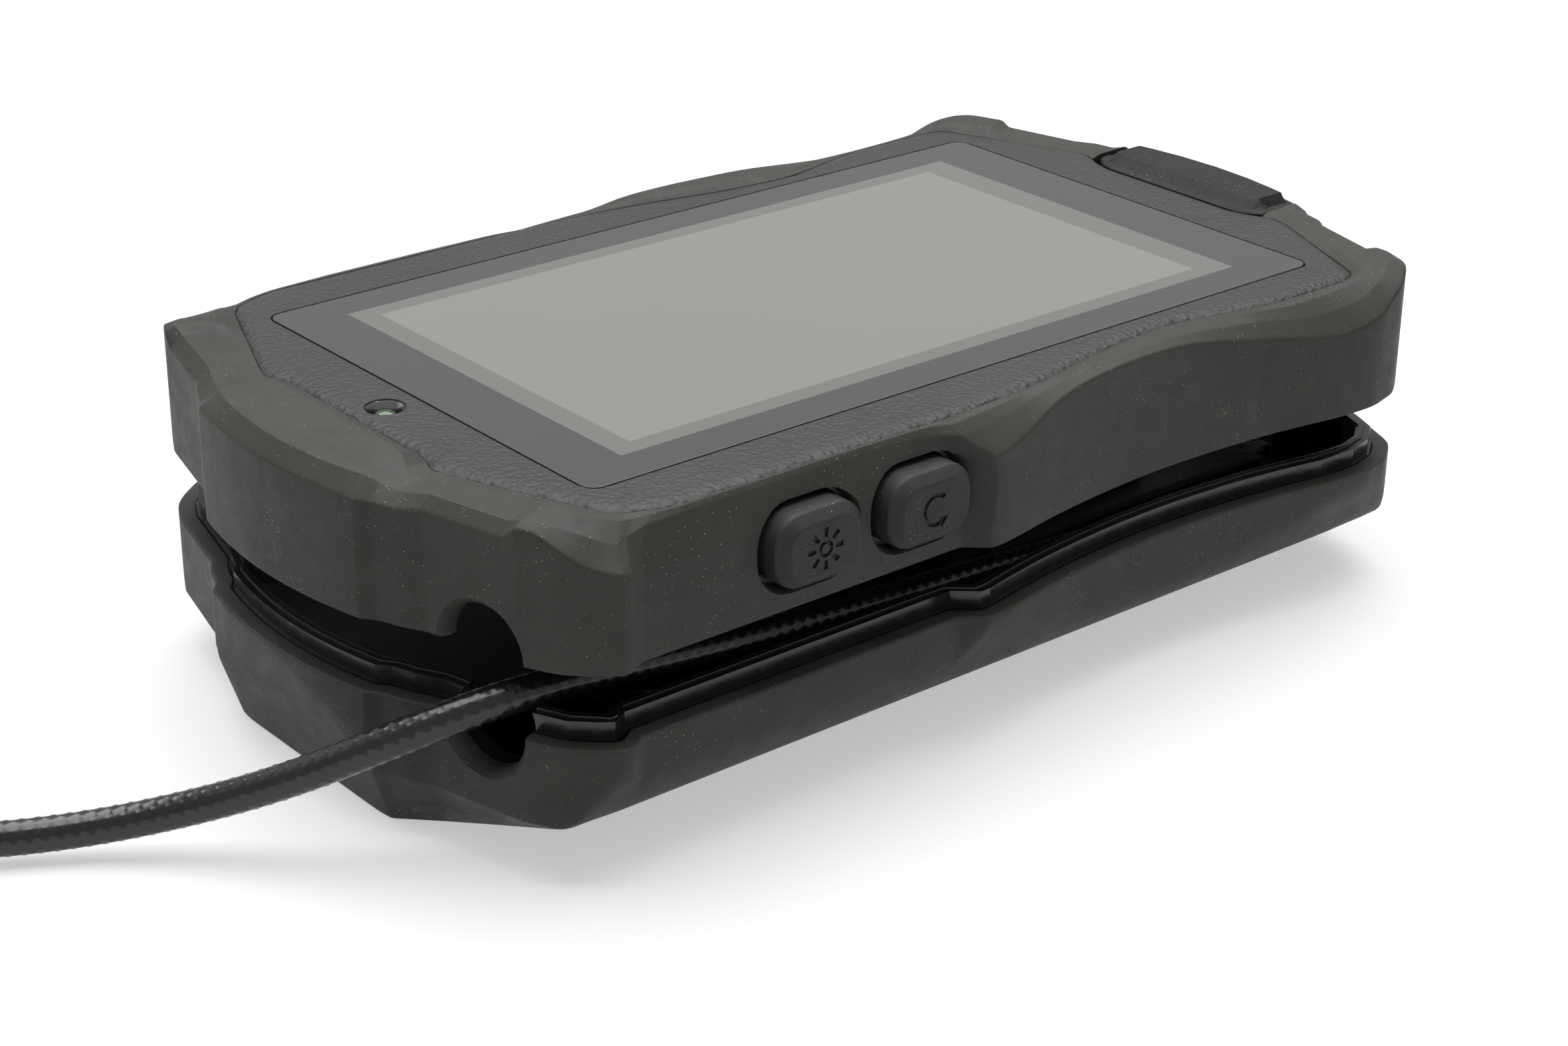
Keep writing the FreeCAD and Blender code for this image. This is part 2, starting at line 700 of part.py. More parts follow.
def shoulder_inner(name):
    """The shoulder planes again, one rubber wall further in."""
    sections = []
    for z in (D["plate_bottom"] - 1, D["back_top"] + 1):
        side = shoulder_reach(z) - 2.1
        corners = [(side, -90), (side, 90), (-side, 90), (-side, -90)]
        sections.append(polygon("%s_%d" % (name, len(sections)), corners, z))
    return loft(name, *sections)


def front_bezel():
    plate = extrude("bezel_plate", bezel_plan, "screen_height - back_top", "back_top")
    across, along = D["lens_half_width"] + 0.15, D["lens_near"] + D["lens_far"] + 0.3
    seat = box("lens_seat", 2 * across, along, 4, -across, "-(lens_near + lens_gap)",
               "screen_height - lens_thickness")
    window = box("display_window", 57, 98.6, 6, -28.5, -49.3, "back_top - 1")
    led = rod("led_hole", "led_radius + 0.1", 6, 0, "led_along", "back_top - 1")
    dish = new("Part::Cone", "led_dish", Radius1="led_radius + 0.1", Radius2=2.3, Height=1.2)
    move(dish, 0, "led_along", "screen_height - 1.1")
    screws = [rod("bezel_thread_%d" % n, "housing_screw_radius", 2.0, x, y, "back_top - 1")
              for n, (x, y) in enumerate(HOUSING_SCREWS)]
    return subpart(cut("front_bezel", plate, seat, window, led, dish, *screws), "front_bezel")


def housing_screws():
    screws = []
    for n, (x, y) in enumerate(HOUSING_SCREWS):
        head = rod("housing_head_%d" % n, "housing_head_radius", 1.4, x, y, "plate_bottom + 0.2")
        shank = rod("housing_shank_%d" % n, "housing_screw_radius", 6.4, x, y,
                    "plate_bottom + 1.6")
        drive = rod("housing_drive_%d" % n, 0.7, 0.9, x, y, "plate_bottom + 0.1")
        screws.append(cut("housing_screw_%d" % n, join("housing_solid_%d" % n, head, shank),
                          drive))
    return subpart(join("housing_screws", *screws), "housing_screws")


# ---------------------------------------------------------------- display and electronics
def lens_glass():
    across = D["lens_half_width"]
    middle = (D["lens_far"] - D["lens_near"]) / 2
    half = (D["lens_far"] + D["lens_near"]) / 2
    plan = sketch("lens_plan", rounded_rectangle(across, half, 1.8))
    glass = extrude("lens_glass", plan, "lens_thickness", "screen_height - lens_thickness")
    return subpart(move(glass, 0, middle, 0), "lens_glass")


def display():
    panel = box("lcd_panel", "2 * panel_half_across", "2 * panel_half_along",
                "panel_thickness", "-panel_half_across", "-panel_half_along",
                "back_top - gasket_thickness - panel_thickness")
    subpart(panel, "lcd_panel")
    frame = box("gasket_frame", 61, 106, "gasket_thickness", -30.5, -53,
                "back_top - gasket_thickness")
    window = box("gasket_window", 57.6, 99.2, 2, -28.8, -49.6, 38)
    subpart(cut("display_gasket", frame, window), "display_gasket")


def electronics():
    board = box("board_plate", 58, 62, 1.0, -29, 3, 33.6)
    chip = box("board_processor", 14, 14, 1.2, 12, 32, 34.6)
    memory = box("board_memory", 9, 11, 1.0, -20, 34, 34.6)
    subpart(join("main_board", board, chip, memory), "main_board")
    subpart(box("battery", 50, 55, 2.8, -25, -56.5, 33.5), "battery")

    jack = box("jack_body", 7.0, 9.5, 3.6, -13.0, 64.3, 34.6)
    barrel = cross_rod("jack_bore", 1.3, 12, -9.5, 66, 36.4, (0, 1, 0))
    subpart(cut("video_jack", jack, barrel), "video_jack")
    port = box("usb_body", 7.8, 7.5, 2.8, -3.9, 65.6, 34.6)
    mouth = box("usb_mouth", 6.8, 6.5, 1.8, -3.4, 67, 35.1)
    subpart(cut("usb_socket", port, mouth), "usb_socket")
    tray = box("card_body", 10.0, 8.6, 1.5, 5.0, 63.6, 34.6)
    slit = box("card_slit", 9.0, 8.5, 0.8, 5.5, 65.0, 34.95)
    subpart(cut("card_slot", tray, slit), "card_slot")

    stand = box("led_board", 12, 6.5, 0.8, -6, -63.2, 34.0)
    subpart(stand, "led_board")
    shaft = rod("led_shaft", "led_radius", 3.9, 0, "led_along", 34.8)
    dome = move(new("Part::Sphere", "led_dome", Radius="led_radius"), 0, "led_along", 38.7)
    subpart(join("status_led", shaft, dome), "status_led")


def switch_boards():
    """A board on each side with a push switch behind each button."""
    for side, label in ((1, "right_switch_board"), (-1, "left_switch_board")):
        low = 32.6 if side > 0 else -33.4
        board = box(label + "_plate", 0.8, 30, 4.8, low, -42, 33.8)
        subpart(board, label)
    bodies = []
    for name, (side, along) in button_places().items():
        low = 33.4 if side > 0 else -35.1
        switch = box("switch_" + name, 1.7, 4.6, 4.0, low, along - 2.3, 34.2)
        bodies.append(switch)
    subpart(join("push_switches", *bodies), "push_switches")


def push_button(name, side, along):
    """Cap with a bevelled face, a flange that keeps it in, and a stem to its switch."""
    owner = body(name)
    across, height = D["cap_length"] / 2, D["cap_height"] / 2
    length = D["cap_face"] - D["cap_root"]
    face = body_sketch(owner, name + "_face", "XY_Plane",
                       rounded_rectangle(across, height, D["cap_corner"]))
    pad = owner.newObject("PartDesign::Pad", name + "_cap")
    pad.Profile = face
    pad.setExpression("Length", "Dimensions.cap_face - Dimensions.cap_root")
    doc.recompute()
    edge = ["Edge%d" % (n + 1) for n, e in enumerate(pad.Shape.Edges)
            if abs(e.BoundBox.ZMin - length) < 1e-6]
    bevel = owner.newObject("PartDesign::Chamfer", name + "_bevel")
    bevel.Base = (pad, edge)
    bevel.setExpression("Size", "Dimensions.cap_chamfer")
    flange = body_sketch(owner, name + "_rim", "XY_Plane",
                         rounded_rectangle(across + 1.0, height + 0.9, D["cap_corner"]))
    base = owner.newObject("PartDesign::Pad", name + "_flange")
    base.Profile = flange
    base.Length = 0.8
    base.Reversed = True
    stem = body_sketch(owner, name + "_stem_end", "XY_Plane",
                       [Part.Circle(Vector(0, 2.6, 0), Vector(0, 0, 1), 1.2)])
    push = owner.newObject("PartDesign::Pad", name + "_stem")
    push.Profile = stem
    push.Length = 2.7
    push.Reversed = True
    owner.Tip = push
    turn = Rotation(Vector(0, side, 0), Vector(0, 0, 1), Vector(side, 0, 0), "XYZ")
    owner.Placement = Placement(Vector(side * D["cap_root"], along, D["button_height"]), turn)
    return subpart(owner, name)


def port_cover():
    """Rubber flap over the sockets: a front wall, a lip over the end and two knuckles."""
    low = HINGE.z + 1.4
    front = box("flap_front", 30.6, 2.0, D["pad_height"] - low, -15.3, 74.2, low)
    plan = polygon("flap_lip_plan", [(-15.3, 77), (-15.3, 66.6), (-12.3, 64.5), (12.3, 64.5),
                                     (15.3, 66.6), (15.3, 77)])
    lip = extrude("flap_lip", plan, 1.8, "pad_height - 1.8")
    shell = overlap("flap_shape", join("flap_solid", front, lip),
                    extrude("flap_prism", outline, 20, 26))
    knuckles = []
    for n, x in enumerate((-13.0, 9.0)):
        knuckles.append(cross_rod("knuckle_%d" % n, "knuckle_radius", 4.0,
                                  x, HINGE.y, HINGE.z, (1, 0, 0)))
        knuckles.append(box("knuckle_arm_%d" % n, 4.0, 1.0, 1.6, x, 74.7, HINGE.z))
    bore = cross_rod("knuckle_bore", "hinge_pin_radius + 0.06", 40, -20, HINGE.y, HINGE.z, (1, 0, 0))
    return subpart(cut("port_cover", join("flap_all", shell, *knuckles), bore), "port_cover")


def flex_lead():
    """Folded ribbon between the magazine and the main board; it opens as the case lifts."""
    folds, reach = 7, 3.2
    bottom, top = D["web_top"], 33.6
    rise = (top - bottom) / folds
    front = [Vector(0, 8 + reach * (1 if n % 2 else -1), bottom + n * rise)
             for n in range(folds + 1)]
    back = [point + Vector(0, 0.35, 0) for point in reversed(front)]
    strip = Part.Face(Part.makePolygon(front + back + front[:1]))
    ribbon = doc.addObject("Part::Feature", "flex_lead")
    ribbon.Shape = strip.extrude(Vector(18, 0, 0))
    ribbon.Placement = Placement(Vector(-9, 0, 0), Rotation())
    return subpart(ribbon, "flex_lead")


# ---------------------------------------------------------------- cable and camera head
# Route of the cable's free stretch, from the top of the winding to the camera head.
CABLE_ROUTE = [
    (34.8, -6.0, 16.7),
    (34.7, -21.0, 17.4),
    (34.9, -37.5, 18.9),
    (34.3, -52.8, 20.5),
    (31.2, -66.4, 20.0),
    (25.2, -76.2, 15.8),
    (17.2, -83.8, 10.2),
    (8.6, -91.8, 5.6),
    (1.2, -101.4, 3.0),
    (-5.0, -112.2, 2.6),
    (-12.4, -122.6, 4.1),
    (-20.4, -131.6, 4.1),
]


def route_wire(points):
    """Straight runs joined by tangent arcs, each as large as its two runs allow."""
    nodes = [Vector(*point) for point in points]
    edges, radii = [], []
    here = nodes[0]
    for before, corner, after in zip(nodes, nodes[1:], nodes[2:]):
        incoming = (corner - before).normalize()
        outgoing = (after - corner).normalize()
        turn = incoming.getAngle(outgoing)
        trim = 0.45 * min((corner - before).Length, (after - corner).Length)
        radii.append(trim / math.tan(turn / 2))
        start, end = corner - incoming * trim, corner + outgoing * trim
        inward = (outgoing - incoming).normalize()
        sagitta = radii[-1] * (1 / math.cos(turn / 2) - 1)
        edges.append(Part.LineSegment(here, start).toShape())
        edges.append(Part.Arc(start, corner + inward * sagitta, end).toShape())
        here = end
    edges.append(Part.LineSegment(here, nodes[-1]).toShape())
    return Part.Wire(edges), radii


def probe_cable():
    wire, radii = route_wire(CABLE_ROUTE)
    radius = D["cable_diameter"] / 2
    start = Vector(*CABLE_ROUTE[0])
    heading = Vector(*CABLE_ROUTE[1]) - start
    section = Part.Wire(Part.makeCircle(radius, start, heading))
    tube = doc.addObject("Part::Feature", "probe_cable")
    tube.Shape = wire.makePipeShell([section], True, False)
    expected = math.pi * radius ** 2 * wire.Length
    print("cable route %.1f mm, arc radii %s" % (wire.Length, [round(r, 1) for r in radii]))
    print("tube volume %.1f, section times length %.1f" % (tube.Shape.Volume, expected))
    return subpart(tube, "probe_cable")


def wound_cable():
    """Outer shape of the turns in the slot, less the gland that the first turn leaves."""
    radius = D["cable_diameter"] / 2
    rings = []
    for name, grow in (("coil_outside", radius), ("coil_inside", -radius)):
        plan = sketch(name + "_plan", rounded_rectangle(D["coil_half_width"] + grow,
                                                        D["coil_half_length"] + grow,
                                                        D["coil_corner"] + grow))
        rings.append(extrude(name, plan, "coil_turns * cable_diameter",
                             "first_turn - cable_diameter / 2"))
    gland_room = box("coil_gland_room", 6, 10, 5, -37, -24, 6)
    turns = cut("coil_turned", rings[0], rings[1], gland_room)
    return subpart(overlap("wound_cable", turns, base_hull("coil_limit", 4.1)), "wound_cable")


def cable_gland():
    """Strain relief clamped to the winding wall, where the cable starts."""
    clamp = box("gland_block", 4.1, 7, 4.2, -35.8, -24, 6.6)
    shape = overlap("gland_clamp", clamp, base_hull("gland_limit", 4.1))
    neck = box("gland_neck", 3.4, 3.0, 3.4, -35.4, -17.0, 7.2)
    tail = cross_rod("gland_tail", 1.9, 3.0, -34, -22.0, D["first_turn"], (1, 0, 0))
    return subpart(join("cable_gland", shape, neck, tail), "cable_gland")


def camera_head():
    """Tube of the camera head with its ferrule, front window and lamp ring."""
    end, before = Vector(*CABLE_ROUTE[-1]), Vector(*CABLE_ROUTE[-2])
    axis = Vector(end.x - before.x, end.y - before.y, 0).normalize()
    place = Placement(Vector(end.x, end.y, D["head_diameter"] / 2),
                      Rotation(Vector(0, 0, 1), axis))
    radius, ferrule = D["head_diameter"] / 2, D["ferrule_length"]
    last = ferrule + D["head_length"]

    def turned(name, points):
        owner = body(name)
        lathe = owner.newObject("PartDesign::Revolution", name + "_turn")
        profile = body_sketch(owner, name + "_profile", "XZ_Plane", closed_lines(points))
        lathe.Profile = profile
        lathe.ReferenceAxis = (plane(owner, "Z_Axis"), [""])
        lathe.Angle = 360
        owner.Tip = lathe
        owner.Placement = place
        return subpart(owner, name)

    turned("head_ferrule", [(0, 0), (2.4, 0), (3.0, 2.0), (radius - 0.5, ferrule),
                            (0, ferrule)])
    turned("camera_head", [(0, ferrule), (radius, ferrule), (radius, last),
                           (radius - 0.5, last), (radius - 0.5, last - 2), (0, last - 2)])
    turned("head_lamp_ring", [(1.6, last - 2), (radius - 0.5, last - 2),
                              (radius - 0.5, last - 0.6), (1.6, last - 0.6)])
    turned("head_lens", [(0, last - 2), (1.6, last - 2), (1.6, last - 0.4), (0, last - 0.4)])


# ---------------------------------------------------------------- build
lower_overmould()
lower_tub()
cable_core()
core_cover()
guide_block()
core_screws()
guide_bushes()
friction_rings()
guide_pins()
stop_washers()
stop_screws()
monitor_overmould()
closing_collar()
monitor_back()
front_bezel()
housing_screws()
lens_glass()
display()
electronics()
switch_boards()
for button, (flank, position) in button_places().items():
    push_button(button, flank, position)
port_cover()
hinge_rod = cross_rod("cover_hinge_pin", "hinge_pin_radius", 26.4,
                      -13.2, HINGE.y, HINGE.z, (1, 0, 0))
subpart(hinge_rod, "cover_hinge_pin")
flex_lead()
cable_gland()
wound_cable()
probe_cable()
camera_head()
doc.recompute()

failed = [thing.Name for thing in doc.Objects
          if {"Invalid", "Error"} & set(thing.State)]
for piece in SUBPARTS:
    if piece.Shape.isNull() or not piece.Shape.isValid() or not piece.Shape.Solids:
        failed.append(piece.Label)
if failed:
    raise RuntimeError("failed objects: " + ", ".join(failed))

os.makedirs("parts", exist_ok=True)
for piece in SUBPARTS:
    piece.Shape.exportStep("parts/%s.step" % piece.Label)
    limits = piece.Shape.BoundBox
    print("%-20s %2d solids %9.1f mm3  x %.1f..%.1f  y %.1f..%.1f  z %.1f..%.1f" % (
        piece.Label, len(piece.Shape.Solids), piece.Shape.Volume, limits.XMin, limits.XMax,
        limits.YMin, limits.YMax, limits.ZMin, limits.ZMax))
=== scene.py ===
"""Looks of a handheld inspection camera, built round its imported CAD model.

Lengths in the tables are millimetres in the row frame; meshes are made in metres.
"""

import math

import bmesh
import bpy
import numpy as np
from mathutils import Matrix, Vector


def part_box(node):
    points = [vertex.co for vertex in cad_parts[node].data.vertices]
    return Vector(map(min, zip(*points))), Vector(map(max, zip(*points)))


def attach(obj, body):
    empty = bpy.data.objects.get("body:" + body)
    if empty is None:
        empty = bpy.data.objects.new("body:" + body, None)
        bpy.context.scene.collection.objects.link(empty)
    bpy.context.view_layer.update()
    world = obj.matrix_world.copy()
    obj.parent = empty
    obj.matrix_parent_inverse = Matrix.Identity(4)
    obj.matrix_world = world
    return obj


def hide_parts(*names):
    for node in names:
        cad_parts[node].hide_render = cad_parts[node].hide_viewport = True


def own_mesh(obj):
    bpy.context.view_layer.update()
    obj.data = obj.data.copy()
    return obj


MM = 0.001
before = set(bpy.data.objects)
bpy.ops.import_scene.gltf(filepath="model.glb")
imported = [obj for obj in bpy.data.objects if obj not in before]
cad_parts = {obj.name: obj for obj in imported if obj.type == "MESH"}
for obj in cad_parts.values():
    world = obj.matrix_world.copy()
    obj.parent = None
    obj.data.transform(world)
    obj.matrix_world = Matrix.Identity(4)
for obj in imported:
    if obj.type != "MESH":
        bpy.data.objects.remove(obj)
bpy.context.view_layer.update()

# ------------------------------------------------------------------ sizes
RIM = 16.96  # top of the lower rubber shell
MONITOR_BOTTOM = 25.54  # bottom of the upper rubber shell
FACE = 41.0  # lens and bezel
BEZEL_EDGE = 40.65  # the bezel rolls down to this where it meets the rubber
BEZEL_BACK = 39.3
RUBBER_WALL = 2.2
KNEE = 7.2  # height where the lower shell's bevel grows shallower
BASE_SIDE, BASE_END, BASE_CORNER = 29.5, 71.6, 87.0  # x, y and x + y of the lower shell's base
LOW_SLOPES = (1.45, 2.45)  # growth of the side and of the corner with height, below the knee
HIGH_SLOPES = (0.6, 1.3)  # the same above the knee
END_SLOPE = 0.29
LIP_BOTTOM, LIP_TOP = 18.6, 19.25
OUTLET = (30.2, -68.3)  # where the cable leaves through the end wall
OUTLET_OUT = (0.237, -0.972)  # the way out, square to that wall
OUTLET_RADIUS = 5.2
OUTLET_REACH = 12
DISPLAY_WINDOW = (27.0, -47.6, 47.6)  # half width, near end and far end of the clear area
DISPLAY_PICTURE = (24.5, -44.6, 43.1)
LENS_HALF_WIDTH, LENS_HALF_LENGTH, LENS_CORNER, LENS_CENTRE = 32.25, 55.75, 1.8, 0.25
LENS_GAP = 0.25  # between the lens and the bezel
CABLE = 4.0
BUTTONS = {"light_button": (1, -34.5), "rotate_button": (1, -18.7),
           "power_button": (-1, -34.5), "zoom_button": (-1, -18.7)}
BUTTON_HEIGHT = 33.0
BUTTON_HALF_LENGTH, BUTTON_HALF_HEIGHT, BUTTON_CORNER = 6.05, 4.35, 3.6
LED = (0.0, -59.8)


# ------------------------------------------------------------------ mesh helpers
def soften(grid, trims, steps=4):
    """Round the corners of closed polylines that run along the first axis of grid."""
    out = []
    count = len(grid)
    for n in range(count):
        here = grid[n]
        if trims[n] <= 0:
            out.append(here)
            continue
        back, ahead = grid[n - 1] - here, grid[(n + 1) % count] - here
        back_len = np.maximum(np.linalg.norm(back, axis=-1, keepdims=True), 1e-9)
        ahead_len = np.maximum(np.linalg.norm(ahead, axis=-1, keepdims=True), 1e-9)
        start = here + back * np.minimum(trims[n] / back_len, 0.5)
        end = here + ahead * np.minimum(trims[n] / ahead_len, 0.5)
        for s in np.linspace(0, 1, steps):
            out.append((1 - s) ** 2 * start + 2 * s * (1 - s) * here + s * s * end)
    return np.array(out)


def new_object(name, verts, faces, smooth_angle=40):
    """Mesh object from millimetre points, with doubles merged and normals outwards."""
    mesh = bpy.data.meshes.new(name)
    mesh.from_pydata([tuple(float(c) * MM for c in v) for v in verts], [], faces)
    bm = bmesh.new()
    bm.from_mesh(mesh)
    bmesh.ops.remove_doubles(bm, verts=bm.verts, dist=2e-6)
    bmesh.ops.dissolve_degenerate(bm, edges=bm.edges, dist=1e-6)
    bmesh.ops.recalc_face_normals(bm, faces=bm.faces)
    bm.to_mesh(mesh)
    bm.free()
    obj = bpy.data.objects.new(name, mesh)
    bpy.context.scene.collection.objects.link(obj)
    shade(obj, smooth_angle)
    return obj


def shade(obj, angle=40):
    """Smooth shading with edges sharper than the angle kept."""
    obj.data.polygons.foreach_set("use_smooth", [True] * len(obj.data.polygons))
    obj.data.set_sharp_from_angle(angle=math.radians(angle))


def tube_faces(rings, points, closed_rings):
    """Quads between neighbouring rings of points, each of which closes up."""
    faces = []
    for r in range(rings if closed_rings else rings - 1):
        for p in range(points):
            a, b = r * points + p, r * points + (p + 1) % points
            c, d = ((r + 1) % rings) * points + (p + 1) % points, ((r + 1) % rings) * points + p
            faces.append((a, b, c, d))
    return faces


def ring_solid(name, rows, row_trims, station_trims, steps=4):
    """Closed ring of rubber or plastic: each row is a loop of stations, the rows close up."""
    grid = np.array(rows, float)
    grid = soften(grid.transpose(1, 0, 2), station_trims, steps).transpose(1, 0, 2)
    grid = soften(grid, row_trims, steps)
    rings, points = grid.shape[:2]
    return new_object(name, grid.reshape(-1, 3), tube_faces(rings, points, True))


def loft(name, rings, caps=True, angle=40):
    """Skin over rings of equal count, capped at both ends."""
    points = len(rings[0])
    verts = [p for ring in rings for p in ring]
    faces = tube_faces(len(rings), points, False)
    if caps:
        faces.append(tuple(range(points))[::-1])
        faces.append(tuple(range(len(verts) - points, len(verts))))
    return new_object(name, verts, faces, angle)


def rounded_rectangle(half_a, half_b, corner, steps=7):
    """Points of a rectangle with round corners, anticlockwise from the right side."""
    points = []
    for n, (sa, sb) in enumerate(((1, 1), (-1, 1), (-1, -1), (1, -1))):
        for s in np.linspace(0, math.pi / 2, steps):
            a = n * math.pi / 2 + s
            points.append((sa * (half_a - corner) + corner * math.cos(a),
                           sb * (half_b - corner) + corner * math.sin(a)))
    return points


def weighted(obj):
    """Normals that keep wide faces flat and let the narrow fillets carry the turn."""
    step = obj.modifiers.new("normals", "WEIGHTED_NORMAL")
    step.keep_sharp = True


def prisms(name, outlines, to_space):
    """Several separate prisms in one mesh; to_space(a, b, top) places their points."""
    verts, faces = [], []
    for outline in outlines:
        count, first = len(outline), len(verts)
        verts += [to_space(a, b, False) for a, b in outline]
        verts += [to_space(a, b, True) for a, b in outline]
        faces.append(tuple(range(first, first + count)))
        faces.append(tuple(range(first + count, first + 2 * count))[::-1])
        for n in range(count):
            m = (n + 1) % count
            faces.append((first + n, first + m, first + count + m, first + count + n))
    return new_object(name, verts, faces)


def lathe(name, profile, centre):
    """Profile of (radius, height) turned about a vertical axis."""
    around = 48
    rings = []
    for radius, height in profile:
        rings.append([(centre[0] + radius * math.cos(2 * math.pi * n / around),
                       centre[1] + radius * math.sin(2 * math.pi * n / around), height)
                      for n in range(around)])
    return loft(name, rings, caps=False)


def apply_modifiers(obj):
    """Put the modifiers' result in the mesh."""
    depsgraph = bpy.context.evaluated_depsgraph_get()
    mesh = bpy.data.meshes.new_from_object(obj.evaluated_get(depsgraph))
    obj.modifiers.clear()
    obj.data = mesh


def carve(obj, *cutters):
    """Cut an object with cutters, which are then removed."""
    for cutter in cutters:
        step = obj.modifiers.new("carve", "BOOLEAN")
        step.operation = "DIFFERENCE"
        step.solver = "EXACT"
        step.object = cutter
    apply_modifiers(obj)
    for cutter in cutters:
        bpy.data.objects.remove(cutter)
    shade(obj)


def block(name, low, high):
    """Plain cutter between two corners."""
    x0, y0, z0 = low
    x1, y1, z1 = high
    ring = [(x0, y0), (x1, y0), (x1, y1), (x0, y1)]
    return loft(name, [[(x, y, z) for x, y in ring] for z in (z0, z1)])


def finish_piece(obj, material, body, replaces=()):
    """Give a piece its normals, its material, its body and what it stands for."""
    weighted(obj)
    obj.data.materials.clear()
    obj.data.materials.append(material)
    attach(obj, body)
    if replaces:
        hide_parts(*replaces)


# ------------------------------------------------------------------ materials
class Nodes:
    """Shorthand for one material's node tree. Its textures are placed in metres."""

    def __init__(self, name):
        self.material = bpy.data.materials.new(name)
        self.material.use_nodes = True
        self.tree = self.material.node_tree
        self.shader = self.tree.nodes["Principled BSDF"]
        self.place = self.add("ShaderNodeTexCoord").outputs["Object"]

    def add(self, kind, **values):
        node = self.tree.nodes.new(kind)
        for key, value in values.items():
            if key in node.inputs:
                self.join(value, node.inputs[key])
            else:
                setattr(node, key, value)
        return node

    def join(self, value, socket):
        if isinstance(value, bpy.types.NodeSocket):
            self.tree.links.new(value, socket)
        else:
            socket.default_value = value

    def set(self, **values):
        for key, value in values.items():
            self.join(value, self.shader.inputs[key.replace("_", " ")])

    def noise(self, scale, detail=3.0, rough=0.55):
        return self.add("ShaderNodeTexNoise", Vector=self.place, Scale=scale,
                        Detail=detail, Roughness=rough).outputs["Fac"]

    def cells(self, scale, feature="F1"):
        return self.add("ShaderNodeTexVoronoi", Vector=self.place, Scale=scale,
                        feature=feature).outputs["Distance"]

    def ramp(self, value, low, high, first, last):
        """first where value is low, last where it is high."""
        node = self.add("ShaderNodeMapRange", Value=value)
        for socket, number in zip(node.inputs[1:5], (low, high, first, last)):
            socket.default_value = number
        return node.outputs["Result"]

    def maths(self, operation, first, second):
        node = self.add("ShaderNodeMath", operation=operation)
        self.join(first, node.inputs[0])
        self.join(second, node.inputs[1])
        return node.outputs[0]

    def blend(self, factor, first, second):
        """Colour between two colours."""
        node = self.add("ShaderNodeMix", data_type="RGBA")
        self.join(factor, node.inputs["Factor"])
        for socket, colour in zip([s for s in node.inputs if s.type == "RGBA"], (first, second)):
            self.join(colour, socket)
        return next(s for s in node.outputs if s.type == "RGBA")

    def bump(self, height, distance, strength=1.0, below=None):
        values = {"Height": height, "Distance": distance, "Strength": strength}
        if below:
            values["Normal"] = below
        return self.add("ShaderNodeBump", **values).outputs["Normal"]


def rgb(red, green, blue):
    return (red, green, blue, 1.0)


def rubber_material(name, colour, light, specular=0.2):
    """Moulded rubber: fine spark grain, faint blotches and a few specks of dust."""
    n = Nodes(name)
    blotch = n.ramp(n.noise(90, 4, 0.6), 0.35, 0.7, 0, 1)
    base = n.blend(blotch, rgb(*colour), rgb(*light))
    grain = n.noise(5200, 2, 0.6)
    speck_field = n.cells(1500)
    gate = n.ramp(n.noise(150, 2, 0.5), 0.42, 0.7, 0, 1)
    speck = n.maths("MULTIPLY", n.ramp(speck_field, 0.06, 0.14, 0.6, 0), gate)
    n.set(Base_Color=n.blend(speck, base, rgb(0.42, 0.40, 0.37)))
    n.set(Roughness=n.ramp(n.noise(350, 3, 0.6), 0.3, 0.7, 0.50, 0.62))
    n.set(Specular_IOR_Level=specular)
    soft = n.bump(n.noise(260, 3, 0.5), 0.000008, 0.5)
    n.set(Normal=n.bump(grain, 0.00005, 0.55, soft))
    return n.material


def bezel_material():
    """Grey plastic with a leather-like spark texture."""
    n = Nodes("bezel_grey")
    tone = n.ramp(n.noise(60, 3, 0.5), 0.3, 0.7, 0, 1)
    n.set(Base_Color=n.blend(tone, rgb(0.019, 0.0188, 0.0180), rgb(0.023, 0.0226, 0.0216)))
    n.set(Roughness=n.ramp(n.noise(900, 2, 0.5), 0.3, 0.7, 0.42, 0.55))
    n.set(Specular_IOR_Level=0.24)
    pebbles = n.ramp(n.cells(1500, "SMOOTH_F1"), 0.0, 0.6, 1, 0)
    coarse = n.bump(pebbles, 0.00015, 0.85)
    n.set(Normal=n.bump(n.noise(3500, 2, 0.6), 0.00003, 0.4, coarse))
    return n.material


def gloss_material(name, colour, roughness=0.16):
    """Injection-moulded black plastic: glossy with faint flow marks and hairline scratches."""
    n = Nodes(name)
    n.set(Base_Color=n.blend(n.ramp(n.noise(40, 3), 0.35, 0.7, 0, 1), rgb(*colour),
                             rgb(*[c * 1.6 for c in colour])))
    n.set(Roughness=n.ramp(n.noise(500, 4, 0.7), 0.35, 0.75, roughness, roughness + 0.14))
    n.set(Normal=n.bump(n.noise(150, 2, 0.5), 0.00004, 0.5))
    return n.material


def metal_material(name, colour, roughness=0.28, grain=2500):
    n = Nodes(name)
    n.set(Base_Color=n.blend(n.noise(200, 3), rgb(*colour), rgb(*[c * 0.8 for c in colour])))
    n.set(Metallic=1.0)
    n.set(Roughness=n.ramp(n.noise(grain, 2), 0.3, 0.7, roughness, roughness + 0.12))
    n.set(Normal=n.bump(n.noise(grain, 2), 0.00001, 0.4))
    return n.material


